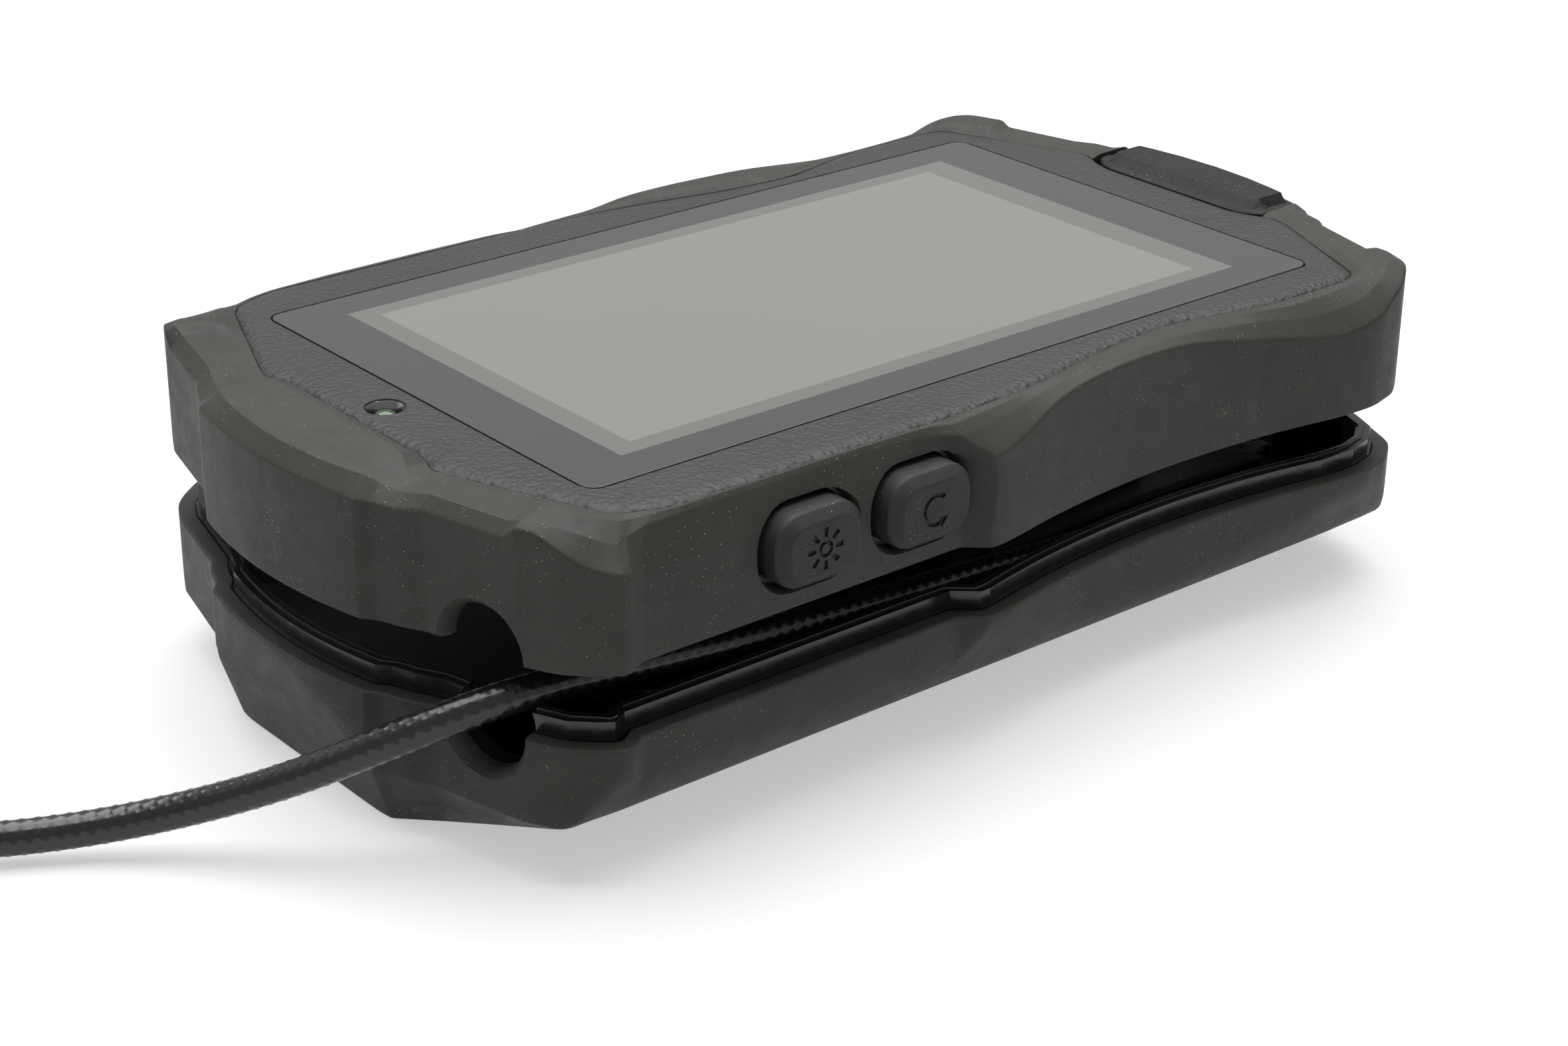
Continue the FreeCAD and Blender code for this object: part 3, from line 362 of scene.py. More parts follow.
def plain_material(name, colour, roughness=0.5, scale=400, spread=0.25, metallic=0.0):
    """Moulded or printed surface with a slight change of tone and grain."""
    n = Nodes(name)
    darker = [c * (1 - spread) for c in colour]
    n.set(Base_Color=n.blend(n.ramp(n.noise(scale, 3), 0.35, 0.65, 0, 1), rgb(*colour),
                             rgb(*darker)))
    n.set(Roughness=n.ramp(n.noise(scale * 3, 2), 0.3, 0.7, roughness - 0.06, roughness + 0.08))
    n.set(Metallic=metallic)
    n.set(Normal=n.bump(n.noise(scale * 6, 2), 0.00002, 0.4))
    return n.material


def cable_material():
    """Satin black jacket, a little rubbed on its ridges."""
    n = Nodes("cable_jacket")
    rub = n.ramp(n.noise(500, 4, 0.7), 0.5, 0.8, 0, 0.6)
    n.set(Base_Color=n.blend(rub, rgb(0.005, 0.005, 0.0053), rgb(0.011, 0.0107, 0.0104)))
    n.set(Roughness=n.ramp(n.noise(1500, 3, 0.6), 0.3, 0.7, 0.20, 0.32))
    n.set(Specular_IOR_Level=0.5)
    n.set(Normal=n.bump(n.noise(3000, 2), 0.00002, 0.35))
    return n.material


def box_mask(n, rectangle, edge):
    """1 inside a rectangle of the row frame, 0 outside, across an edge of that half width."""
    half_x, low_y, high_y = (size * MM for size in rectangle)
    edge *= MM
    split = n.add("ShaderNodeSeparateXYZ", Vector=n.place)
    across = n.maths("ABSOLUTE", split.outputs["X"], 0)
    along = n.maths("ABSOLUTE", n.maths("SUBTRACT", split.outputs["Y"], (low_y + high_y) / 2), 0)
    half_y = (high_y - low_y) / 2
    inside_x = n.ramp(across, half_x - edge, half_x + edge, 1, 0)
    inside_y = n.ramp(along, half_y - edge, half_y + edge, 1, 0)
    return n.maths("MULTIPLY", inside_x, inside_y)


def lens_material():
    """Polished window, opaque: the border, the display's strip and the display are its colours."""
    n = Nodes("lens_window")
    window = box_mask(n, DISPLAY_WINDOW, 0.02)
    lit = box_mask(n, DISPLAY_PICTURE, 0.06)
    border = n.blend(n.noise(30, 2), rgb(0.0430, 0.0422, 0.0420), rgb(0.0460, 0.0452, 0.0448))
    rim = n.blend(n.noise(25, 2), rgb(0.104, 0.103, 0.098), rgb(0.109, 0.108, 0.103))
    picture = n.blend(n.noise(22, 2), rgb(0.150, 0.148, 0.141), rgb(0.157, 0.155, 0.148))
    n.set(Base_Color=n.blend(window, border, n.blend(lit, rim, picture)))
    n.set(Roughness=n.ramp(n.noise(60, 3), 0.3, 0.7, 0.06, 0.10))
    n.set(Specular_IOR_Level=0.5)
    n.set(Normal=n.bump(n.noise(18, 1), 0.00002, 0.3))
    return n.material


def display_material():
    """Display that is switched off: warm light grey with a very fine dot pitch."""
    n = Nodes("display_off")
    n.set(Base_Color=n.blend(n.noise(40, 2), rgb(0.36, 0.355, 0.34), rgb(0.39, 0.385, 0.37)))
    n.set(Roughness=n.ramp(n.noise(300, 2), 0.3, 0.7, 0.3, 0.36))
    n.set(Normal=n.bump(n.noise(6000, 1), 0.00001, 0.15))
    return n.material


def glass_material(name, colour, roughness):
    n = Nodes(name)
    n.set(Base_Color=n.blend(n.noise(300, 2), rgb(*colour), rgb(*[c * 0.85 for c in colour])))
    n.set(Roughness=n.ramp(n.noise(900, 2), 0.3, 0.7, roughness, roughness + 0.05))
    n.set(Transmission_Weight=0.6, IOR=1.5)
    return n.material


RUBBER = rubber_material("rubber_charcoal", (0.0250, 0.0228, 0.0202), (0.0320, 0.0296, 0.0266))
FLAP_RUBBER = rubber_material("rubber_flap", (0.0100, 0.0096, 0.0090), (0.0140, 0.0134, 0.0126),
                              0.14)
BUTTON_RUBBER = rubber_material("rubber_button", (0.0190, 0.0185, 0.0176),
                                (0.0235, 0.0228, 0.0215))
BEZEL = bezel_material()
GLOSS = gloss_material("case_black", (0.006, 0.006, 0.0075))
BACK = gloss_material("back_black", (0.010, 0.010, 0.011), 0.3)
CABLE_BLACK = cable_material()
LENS = lens_material()
DISPLAY = display_material()
STEEL = metal_material("zinc_steel", (0.55, 0.55, 0.56))
CHROME = metal_material("led_bezel", (0.20, 0.20, 0.20), 0.12)
HEAD_STEEL = metal_material("turned_steel", (0.60, 0.60, 0.61), 0.2)
BOARD = plain_material("solder_mask", (0.015, 0.10, 0.04), 0.35, 700)
CELL = plain_material("pouch_foil", (0.42, 0.43, 0.45), 0.35, 200, 0.15, 0.6)
SWITCH = plain_material("switch_black", (0.02, 0.02, 0.02), 0.35)
CONNECTOR = metal_material("plated_shell", (0.58, 0.58, 0.57), 0.25)
FELT = plain_material("pressed_felt", (0.06, 0.06, 0.06), 0.95, 1500)
ACETAL = plain_material("natural_acetal", (0.62, 0.61, 0.56), 0.4, 300, 0.1)
LED_GREEN = glass_material("led_green", (0.03, 0.10, 0.02), 0.05)
FOAM = plain_material("gasket_foam", (0.015, 0.015, 0.015), 0.9, 2000)
FILM = plain_material("polyimide_film", (0.38, 0.17, 0.03), 0.3, 300)
WINDOW = glass_material("head_window", (0.25, 0.28, 0.32), 0.03)
LAMP = plain_material("lamp_resin", (0.75, 0.74, 0.66), 0.25, 500, 0.1)
GLAND = plain_material("gland_rubber", (0.012, 0.012, 0.012), 0.6)

CAD_MATERIALS = {
    "cable_core": GLOSS, "core_cover": GLOSS, "guide_block": GLOSS, "lower_tub": GLOSS,
    "monitor_back": BACK, "closing_collar": BACK,
    "lower_overmould": RUBBER, "monitor_overmould": RUBBER, "port_cover": RUBBER,
    "light_button": BUTTON_RUBBER, "rotate_button": BUTTON_RUBBER,
    "power_button": BUTTON_RUBBER, "zoom_button": BUTTON_RUBBER,
    "front_bezel": BEZEL, "lens_glass": LENS, "lcd_panel": DISPLAY, "display_gasket": FOAM,
    "core_screws": STEEL, "housing_screws": STEEL, "stop_screws": STEEL, "stop_washers": STEEL,
    "guide_pins": STEEL, "cover_hinge_pin": STEEL, "guide_bushes": ACETAL,
    "friction_rings": FELT, "main_board": BOARD, "led_board": BOARD,
    "right_switch_board": BOARD, "left_switch_board": BOARD, "battery": CELL,
    "push_switches": SWITCH, "video_jack": SWITCH, "usb_socket": CONNECTOR,
    "card_slot": CONNECTOR, "status_led": LED_GREEN, "flex_lead": FILM,
    "cable_gland": GLAND, "wound_cable": CABLE_BLACK, "probe_cable": CABLE_BLACK,
    "camera_head": HEAD_STEEL, "head_ferrule": CABLE_BLACK, "head_lamp_ring": LAMP,
    "head_lens": WINDOW,
}
for node, material in CAD_MATERIALS.items():
    cad_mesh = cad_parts[node].data
    cad_mesh.materials.clear()
    cad_mesh.materials.append(material)

for node, rounding_radius in (("lower_tub", 0.18), ("core_cover", 0.35), ("guide_block", 0.5)):
    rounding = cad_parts[node].modifiers.new("rounding", "BEVEL")
    rounding.width = rounding_radius * MM
    rounding.segments = 3
    rounding.limit_method = "ANGLE"
    rounding.angle_limit = math.radians(35)
    weighted(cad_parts[node])

# ------------------------------------------------------------------ shells
# Right half of the two rubber shells, near end to far end. Each station: the outline point,
# the height of the wall's upper edge, the rim point above it, the point half way across the
# top, the bezel's edge, and how far its corner is rounded.
PAD_END = 76.2
PAD_BOW = 125.0  # the end pads' outline is y = PAD_END - x * x / PAD_BOW


def pad_station(side, x, wall, top, crown, trim=9.0):
    """Station on an end pad, whose top slopes up from its outer edge."""
    reach = PAD_END - x * x / PAD_BOW
    inner = 66.2 if side < 0 else 65.6
    edge = 63.8 if side < 0 else 64.1
    return ((x, side * reach), wall, (0.935 * x, side * (reach - 1.95), top),
            (0.87 * x, side * inner, crown), (0.82 * x, side * edge), trim)


STATIONS = [
    pad_station(-1, 0.0, 39.6, 41.5, 42.0),
    pad_station(-1, 5.0, 39.6, 41.5, 42.0),
    pad_station(-1, 10.0, 39.6, 41.5, 42.0),
    pad_station(-1, 13.6, 39.5, 41.5, 41.95),
    ((15.9, -74.2), 39.4, (14.8, -72.0, 41.4), (13.4, -66.4, 41.9), (12.4, -63.7), 0.3),
    ((17.5, -72.9), 39.2, (16.6, -70.9, 40.6), (16.0, -67.4, 40.9), (14.6, -64.1), 0.45),
    ((20.3, -71.9), 39.2, (19.4, -70.1, 40.4), (18.3, -67.2, 40.6), (16.8, -65.0), 0.5),
    ((23.0, -70.4), 39.5, (22.5, -68.9, 41.0), (21.2, -66.2, 40.6), (19.3, -64.2), 0.4),
    ((33.5, -67.85), 39.5, (33.1, -66.3, 41.0), (31.8, -63.2, 40.8), (28.9, -60.4), 0.25),
    ((35.3, -67.4), 41.1, (34.9, -66.2, 41.7), (33.4, -62.8, 41.6), (31.0, -59.6), 0.3),
    ((37.2, -66.5), 41.3, (36.5, -65.2, 41.7), (35.0, -61.6, 41.6), (33.4, -58.6), 1.5),
    ((39.6, -65.3), 39.8, (38.1, -63.4, 40.9), (36.7, -60.2, 41.4), (35.2, -57.9), 1.5),
    ((41.2, -63.8), 38.3, (39.5, -61.9, 40.3), (37.8, -59.3, 41.1), (36.4, -57.4), 1.5),
    ((42.4, -62.4), 37.5, (40.5, -60.6, 39.7), (38.5, -58.3, 40.9), (37.3, -56.7), 1.2),
    ((44.0, -60.3), 36.9, (41.5, -59.0, 39.0), (39.2, -57.2, 40.5), (38.2, -55.9), 0.5),
    ((44.0, -59.1), 36.7, (40.7, -57.6, 39.3), (39.5, -55.4, 40.4), (38.7, -54.6), 0.35),
    ((42.7, -56.8), 35.7, (40.6, -54.8, 39.8), (40.0, -53.2, 40.6), (39.6, -52.4), 0.4),
    ((42.7, -53.0), 35.7, (41.0, -51.0, 40.1), (40.5, -50.5, 40.7), (40.15, -50.2), 1.5),
    ((42.7, -42.0), 35.7, (41.1, -41.5, 40.2), (40.65, -41.5, 40.8), (40.2, -41.5), 1.0),
    ((42.7, -28.0), 35.7, (41.1, -28.0, 40.2), (40.65, -28.0, 40.8), (40.2, -28.0), 1.0),
    ((42.7, -17.5), 35.7, (41.2, -18.2, 40.0), (40.7, -18.0, 40.7), (40.2, -18.0), 1.5),
    ((42.7, -12.3), 35.7, (41.5, -15.2, 39.6), (40.8, -15.0, 40.5), (40.2, -15.0), 0.5),
    ((45.0, -9.6), 36.6, (42.3, -12.6, 39.2), (41.2, -12.8, 40.2), (40.2, -12.8), 0.5),
    ((45.0, -7.6), 36.9, (42.4, -9.0, 39.4), (41.1, -9.5, 40.4), (40.1, -9.8), 1.2),
    ((44.4, -4.1), 37.8, (42.0, -4.6, 39.8), (40.9, -5.0, 40.6), (39.8, -5.2), 2.5),
    ((43.6, -0.3), 39.4, (41.6, -0.5, 40.5), (40.4, -0.6, 40.9), (39.4, -0.6), 2.5),
    ((42.8, 4.7), 40.6, (41.2, 4.6, 41.2), (40.0, 4.6, 41.2), (38.6, 5.0), 2.5),
    ((42.1, 10.9), 41.0, (40.5, 10.9, 41.5), (39.0, 10.9, 41.4), (37.4, 10.9), 3.0),
    ((41.6, 17.5), 41.0, (40.1, 17.5, 41.6), (38.4, 17.3, 41.4), (36.2, 17.0), 3.0),
    ((41.5, 23.5), 40.8, (40.0, 23.5, 41.4), (38.0, 23.5, 41.4), (35.6, 23.5), 3.0),
    ((41.65, 29.0), 39.9, (39.9, 29.0, 40.9), (37.8, 29.0, 41.1), (35.5, 28.5), 3.0),
    ((42.4, 39.0), 38.0, (40.3, 38.8, 39.8), (38.9, 38.8, 40.6), (37.8, 38.5), 3.0),
    ((43.3, 45.0), 37.0, (41.3, 44.5, 39.0), (39.6, 44.0, 40.3), (38.45, 43.0), 3.0),
    ((44.15, 50.0), 36.5, (41.8, 49.4, 38.9), (39.8, 48.7, 40.3), (38.5, 48.0), 1.5),
    ((44.4, 53.6), 37.0, (41.9, 52.8, 39.2), (39.8, 52.2, 40.4), (38.5, 51.8), 1.5),
    ((44.4, 56.3), 37.7, (41.9, 55.4, 39.5), (39.7, 54.8, 40.6), (38.5, 54.5), 1.2),
    ((43.7, 59.0), 39.3, (41.6, 57.5, 40.4), (39.6, 56.6, 41.0), (38.3, 56.3), 1.5),
    ((43.2, 61.0), 40.2, (41.2, 59.3, 41.0), (39.2, 58.0, 41.3), (37.8, 57.4), 1.2),
    ((41.7, 63.2), 41.0, (40.1, 61.4, 41.6), (38.0, 59.6, 41.5), (37.0, 58.3), 1.5),
    ((40.0, 65.4), 41.2, (38.9, 63.6, 41.7), (36.6, 61.3, 41.6), (35.6, 59.0), 1.5),
    ((35.3, 67.4), 41.0, (34.6, 66.0, 41.6), (33.0, 62.8, 41.5), (32.0, 60.5), 0.3),
    ((33.4, 67.9), 39.4, (32.8, 66.2, 40.9), (31.6, 63.6, 40.8), (29.5, 61.6), 0.3),
    ((23.0, 70.4), 39.3, (22.4, 68.9, 40.9), (21.0, 66.9, 40.7), (19.6, 65.8), 0.4),
    ((20.3, 71.9), 40.0, (19.5, 70.2, 41.0), (18.4, 67.6, 40.8), (17.3, 66.2), 0.4),
    ((17.5, 72.9), 39.6, (16.9, 71.0, 40.9), (16.3, 67.8, 40.9), (15.7, 65.7), 0.4),
    ((15.9, 74.2), 39.6, (15.4, 72.2, 41.2), (14.9, 66.2, 41.2), (14.3, 65.0), 0.3),
    pad_station(1, 13.6, 39.6, 41.3, 41.3),
    pad_station(1, 10.0, 39.6, 41.3, 41.3),
    pad_station(1, 5.0, 39.6, 41.3, 41.3),
    pad_station(1, 0.0, 39.6, 41.3, 41.3),
]


def both_sides(stations):
    """The right half and its mirror image as one closed loop of stations."""
    left = []
    for outline, wall, rim, middle, edge, trim in reversed(stations[1:-1]):
        left.append(((-outline[0], outline[1]), wall, (-rim[0], *rim[1:]),
                     (-middle[0], *middle[1:]), (-edge[0], edge[1]), trim))
    return stations + left


def strip_point(station):
    """Foot of the step between the top of the rubber and the strip round the bezel."""
    outline, _, _, (x, y, z), (edge_x, edge_y), _ = station
    if abs(outline[0]) < 14 and outline[1] < -70:
        return (0.985 * x, y + 0.85, 41.15)
    return ((x + edge_x) / 2, (y + edge_y) / 2, z - 0.35 * (z - BEZEL_EDGE))


LOOP = both_sides(STATIONS)
OUTLINE = np.array([station[0] for station in LOOP], float)
TRIMS = [station[5] for station in LOOP]


def inward(distance, reach=5.0):
    """The outline moved inwards along normals that are averaged over a short stretch."""
    count = len(OUTLINE)
    ahead = np.roll(OUTLINE, -1, axis=0) - OUTLINE
    lengths = np.linalg.norm(ahead, axis=1)
    edge_normals = np.stack([-ahead[:, 1], ahead[:, 0]], axis=1) / lengths[:, None]
    passed = np.concatenate([[0], np.cumsum(lengths)])
    total = passed[-1]
    moved = []
    for n in range(count):
        middles = (passed[:-1] + passed[1:]) / 2
        gap = np.abs((middles - passed[n] + total / 2) % total - total / 2)
        near = np.clip((lengths / 2 + reach - gap) / np.minimum(lengths, 2 * reach), 0, 1)
        normal = (edge_normals * (np.minimum(lengths, 2 * reach) * near)[:, None]).sum(axis=0)
        moved.append(OUTLINE[n] + distance * normal / np.linalg.norm(normal))
    return np.array(moved)


def level(points, height):
    return [(x, y, height) for x, y in points]


def window_cutter(name, side, along, grow, start, end):
    """Rounded window through a side wall, opened out where it meets the surface."""
    flare = 0.6
    rings = []
    for depth, extra in ((start, 0.0), (end - 2.2 * flare, 0.0), (end - flare, 0.25 * flare),
                         (end, 1.0 * flare), (end + 3, 1.0 * flare + 3)):
        wider = grow + extra
        ring = rounded_rectangle(BUTTON_HALF_LENGTH + wider, BUTTON_HALF_HEIGHT + wider,
                                 BUTTON_CORNER + wider)
        rings.append([(side * depth, along + a, BUTTON_HEIGHT + b) for a, b in ring])
    return loft(name, rings)


def outlet_cutter(name, height, flare):
    """Round cable outlet, opened out towards the outside of the end wall."""
    centre = Vector((*OUTLET, height))
    out = Vector((*OUTLET_OUT, 0))
    side = Vector((-out.y, out.x, 0))
    rings = []
    for along, size in ((-OUTLET_REACH, OUTLET_RADIUS), (-1.2, OUTLET_RADIUS),
                        (-0.35, OUTLET_RADIUS + 0.25 * flare), (0.15, OUTLET_RADIUS + flare),
                        (4.0, OUTLET_RADIUS + flare + 3.8)):
        ring = []
        for n in range(32):
            a = 2 * math.pi * n / 32
            ring.append(centre + out * along + side * (size * math.cos(a))
                        + Vector((0, 0, size * math.sin(a))))
        rings.append(ring)
    return loft(name, rings)


def monitor_overmould():
    """Rubber armour of the display half, with windows for the buttons and the cable."""
    crease = [(x, y, station[1]) for station, (x, y) in zip(LOOP, OUTLINE)]
    slope = []
    for (x, y, z), station in zip(crease, LOOP):
        rim = station[2]
        slope.append((0.6 * x + 0.4 * rim[0], 0.6 * y + 0.4 * rim[1], 0.6 * z + 0.4 * rim[2]))
    inner = inward(RUBBER_WALL)
    rows = [
        level(inner, MONITOR_BOTTOM),
        level(OUTLINE, MONITOR_BOTTOM),
        crease,
        slope,
        [station[2] for station in LOOP],
        [station[3] for station in LOOP],
        [strip_point(station) for station in LOOP],
        [(*station[4], BEZEL_EDGE) for station in LOOP],
        [(*station[4], BEZEL_BACK) for station in LOOP],
        [(x, y, station[1] - 1.3) for station, (x, y) in zip(LOOP, inner)],
    ]
    shell = ring_solid("monitor_armour", rows,
                       [0.2, 0.35, 0.35, 0.3, 0.16, 0.2, 0.3, 0.15, 0, 0.5], TRIMS)
    cutters = [window_cutter("window_" + name, side, along, 0.7, 36, 42.9)
               for name, (side, along) in BUTTONS.items()]
    cutters.append(outlet_cutter("outlet_upper", MONITOR_BOTTOM, 0.7))
    cutters.append(block("pocket", (-15.6, 64.0, 28.6), (15.6, 80, 48)))
    carve(shell, *cutters)
    finish_piece(shell, RUBBER, "monitor", ["monitor_overmould"])


def hull_point(x, y, z):
    """The outline's point drawn in to the bevelled underside at a height."""
    above = max(z - KNEE, 0)
    below = z - above
    side = BASE_SIDE + LOW_SLOPES[0] * below + HIGH_SLOPES[0] * above
    end = BASE_END + END_SLOPE * z
    limit = BASE_CORNER + LOW_SLOPES[1] * below + HIGH_SLOPES[1] * above
    a, b = min(abs(x), side), min(abs(y), end)
    over = max(a + b - limit, 0) / 2
    return (math.copysign(a - over, x), math.copysign(b - over, y), z)


def hull_crease(x, y):
    """Height where the upright wall of the lower shell turns in towards the base."""
    a, b = abs(x), abs(y)
    side_step, corner_step = (low - high for low, high in zip(LOW_SLOPES, HIGH_SLOPES))
    upper = max((a - BASE_SIDE - side_step * KNEE) / HIGH_SLOPES[0], (b - BASE_END) / END_SLOPE,
                (a + b - BASE_CORNER - corner_step * KNEE) / HIGH_SLOPES[1])
    return min(max(upper, KNEE + 0.3), RIM - 0.5)


def lower_overmould():
    """Rubber armour of the magazine, bevelled below and open under its middle."""
    inner = inward(RUBBER_WALL)
    base = [hull_point(x, y, 0.0) for x, y in OUTLINE]
    knee = [hull_point(x, y, KNEE) for x, y in OUTLINE]
    crease = [(x, y, hull_crease(x, y)) for x, y in OUTLINE]
    window = [(0.84 * x, 0.84 * y) for x, y, _ in base]
    rows = [
        level(window, 0.0), base, knee, crease, level(OUTLINE, RIM), level(inner, RIM),
        [(0.948 * x, 0.968 * y, z) for x, y, z in crease],
        [(0.94 * x, 0.965 * y, z + 0.6) for x, y, z in knee],
        [(0.93 * x, 0.965 * y, 0.8) for x, y, z in base], level(window, 0.8),
    ]
    shell = ring_solid("lower_armour", rows, [0.2, 0.5, 2.0, 2.4, 0.4, 0.3, 0.3, 0.3, 0.3, 0.2],
                       TRIMS)
    carve(shell, outlet_cutter("outlet_lower", RIM, 0.7))
    finish_piece(shell, RUBBER, "magazine", ["lower_overmould"])


def lip_rib():
    """Raised inner edge along the top of the tub's lip, cut away at the cable outlet."""
    outer, inner = inward(3.35), inward(4.2)
    rows = [level(inner, LIP_BOTTOM), level(outer, LIP_BOTTOM), level(outer, LIP_TOP),
            level(inner, LIP_TOP)]
    rib = ring_solid("lip_rib", rows, [0, 0, 0.12, 0.12], [0.2] * len(LOOP), 3)
    carve(rib, outlet_cutter("outlet_rib", RIM, 0.2))
    finish_piece(rib, GLOSS, "magazine")


# ------------------------------------------------------------------ face
def bezel_loops():
    """The bezel's outer edge, two loops inside it and its inner edge round the lens."""
    edge = np.array([station[4] for station in LOOP], float)
    ahead = np.roll(edge, -2, axis=0) - np.roll(edge, 2, axis=0)
    normals = np.stack([-ahead[:, 1], ahead[:, 0]], axis=1)
    normals /= np.linalg.norm(normals, axis=1, keepdims=True)
    radius = LENS_CORNER + LENS_GAP
    corner_x, corner_y = LENS_HALF_WIDTH - LENS_CORNER, LENS_HALF_LENGTH - LENS_CORNER
    inner = []
    for x, y in edge + 1.6 * normals:
        cx = min(max(x, -corner_x), corner_x)
        cy = LENS_CENTRE + min(max(y - LENS_CENTRE, -corner_y), corner_y)
        away = Vector((x - cx, y - cy)).normalized() * radius
        inner.append((cx + away.x, cy + away.y))
    return edge, edge + 0.7 * normals, edge + 1.6 * normals, np.array(inner)


def front_bezel():
    """Textured plate round the lens, with the lamp in its dish."""
    edge, first, second, inner = bezel_loops()
    rows = [level(edge, BEZEL_BACK), level(edge, BEZEL_EDGE - 0.1), level(first, 40.86),
            level(second, 40.98), level(inner, FACE), level(inner, 39.6)]
    bezel = ring_solid("bezel", rows, [0, 0.15, 0.3, 0.3, 0.12, 0], [0.4] * len(LOOP), 3)
    hole = lathe("led_hole", [(0, 38), (1.9, 38), (1.9, 40.3), (2.35, 40.95), (2.5, 41.6),
                              (0, 41.6)], LED)
    carve(bezel, hole)
    finish_piece(bezel, BEZEL, "monitor", ["front_bezel"])
    dish = lathe("led_ring", [(2.3, 40.75), (2.2, 40.85), (2.05, 40.7), (1.75, 40.1),
                              (1.62, 39.6), (1.62, 39.2), (1.9, 39.2), (1.9, 40.2),
                              (2.3, 40.75)], LED)
    finish_piece(dish, CHROME, "monitor")
    dome = lathe("led_dome", [(1.5, 39.2)] + [(1.5 * math.cos(a), 39.4 + 1.15 * math.sin(a))
                                              for a in np.linspace(0, math.pi / 2, 9)], LED)
    finish_piece(dome, LED_GREEN, "monitor")


def lens():
    """Window over the display, with a narrow polished edge."""
    rings = []
    for height, inset in ((39.7, 0), (40.93, 0), (40.98, 0.02), (FACE, 0.07)):
        ring = rounded_rectangle(LENS_HALF_WIDTH - inset, LENS_HALF_LENGTH - inset,
                                 LENS_CORNER - inset)
        rings.append([(x, y + LENS_CENTRE, height) for x, y in ring])
    finish_piece(loft("lens", rings), LENS, "monitor", ["lens_glass"])


# ------------------------------------------------------------------ buttons
def arc_band(inner, outer, start, end, steps=26):
    """Outline of a band of a circle between two angles in degrees."""
    angles = np.radians(np.linspace(start, end, steps))
    return [(outer * math.cos(a), outer * math.sin(a)) for a in angles] \
        + [(inner * math.cos(a), inner * math.sin(a)) for a in angles[::-1]]


def turned(points, degrees, shift=(0, 0)):
    """Points turned about the origin, then moved."""
    a = math.radians(degrees)
    return [(x * math.cos(a) - y * math.sin(a) + shift[0],
             x * math.sin(a) + y * math.cos(a) + shift[1]) for x, y in points]


def icon(button):
    """Outlines of a button's engraved sign: sun, turning arrow, power or magnifier."""
    if button == "light_button":
        ray = [(1.35, -0.22), (2.45, -0.34), (2.45, 0.34), (1.35, 0.22)]
        return [arc_band(0.55, 1.0, 3, 357)] + [turned(ray, 45 * n) for n in range(8)]
    if button == "rotate_button":
        head = [(-0.1, -0.85), (1.15, 0.05), (-0.1, 0.85)]
        end = turned([(1.72, 0)], 292)[0]
        return [arc_band(1.45, 2.0, 48, 288), turned(head, 22, end)]
    if button == "power_button":
        return [arc_band(1.35, 1.9, 125, 415), [(-0.28, 0.4), (0.28, 0.4), (0.28, 2.3),
                                                (-0.28, 2.3)]]
    handle = [(1.55, -0.3), (3.0, -0.3), (3.0, 0.3), (1.55, 0.3)]
    centre = (-0.4, 0.4)
    return [turned(arc_band(0.95, 1.4, 3, 357), 0, centre), turned(handle, -45, centre)]


def button(name, side, along):
    """Cap with a broad rolled edge and an engraved sign."""
    rings = []
    for depth, inset in ((38.4, 0), (43.9, 0), (44.15, 0.05), (44.35, 0.2), (45.2, 1.05),
                         (45.34, 1.25), (45.4, 1.5)):
        ring = rounded_rectangle(BUTTON_HALF_LENGTH - inset, BUTTON_HALF_HEIGHT - inset,
                                 max(BUTTON_CORNER - inset, 1.2), 9)
        rings.append([(side * depth, along + a, BUTTON_HEIGHT + b) for a, b in ring])
    cap = loft("cap_" + name, rings)

    def to_space(a, b, top):
        return (side * (46.0 if top else 45.1), along + side * a, BUTTON_HEIGHT + b)

    carve(cap, prisms("sign_" + name, icon(name), to_space))
    finish_piece(cap, BUTTON_RUBBER, name, [name])


# ------------------------------------------------------------------ port cover
def port_cover():
    """Rubber flap over the sockets, with a raised pad on top and thin ends."""
    rings = []
    for x in (-15.3, -15.15, -14.6, -13.9, -13.3, -12.9, -11.0, -6.0, 0.0, 6.0, 11.0, 12.9, 13.3,
              13.9, 14.6, 15.15, 15.3):
        ends = 0.25 if abs(x) > 15.2 else 0.06 if abs(x) > 15.0 else 0.0
        outer = PAD_END - x * x / PAD_BOW - ends
        inner = 64.55 + max(abs(x) - 12.3, 0) * 0.7 + ends
        lift = min(max((13.8 - abs(x)) / 0.8, 0), 1)
        deck = 40.8 - ends
        pad = deck + 1.17 * lift
        profile = [(outer, 28.9), (outer, 39.0), (outer - 0.25, 39.7),
                   (outer - 1.35, deck - 0.35), (outer - 1.75, deck), (outer - 2.1, deck + 0.05),
                   (outer - 2.6, pad - 0.08), (outer - 2.95, pad), (inner + 3.0, pad),
                   (inner + 2.7, pad - 0.1), (inner + 1.3, deck + 0.08), (inner + 1.0, deck),
                   (inner + 0.5, deck - 0.03), (inner + 0.12, deck - 0.25), (inner, deck - 0.8),
                   (inner + 0.3, 40.2), (outer - 2.4, 39.9), (outer - 1.9, 39.2),
                   (outer - 1.8, 28.9)]
        rings.append([(x, y, z) for y, z in profile])
    finish_piece(loft("flap", rings), FLAP_RUBBER, "port_cover", ["port_cover"])


monitor_overmould()
lower_overmould()
lip_rib()
front_bezel()
lens()
for button_name, (flank, position) in BUTTONS.items():
    button(button_name, flank, position)
port_cover()


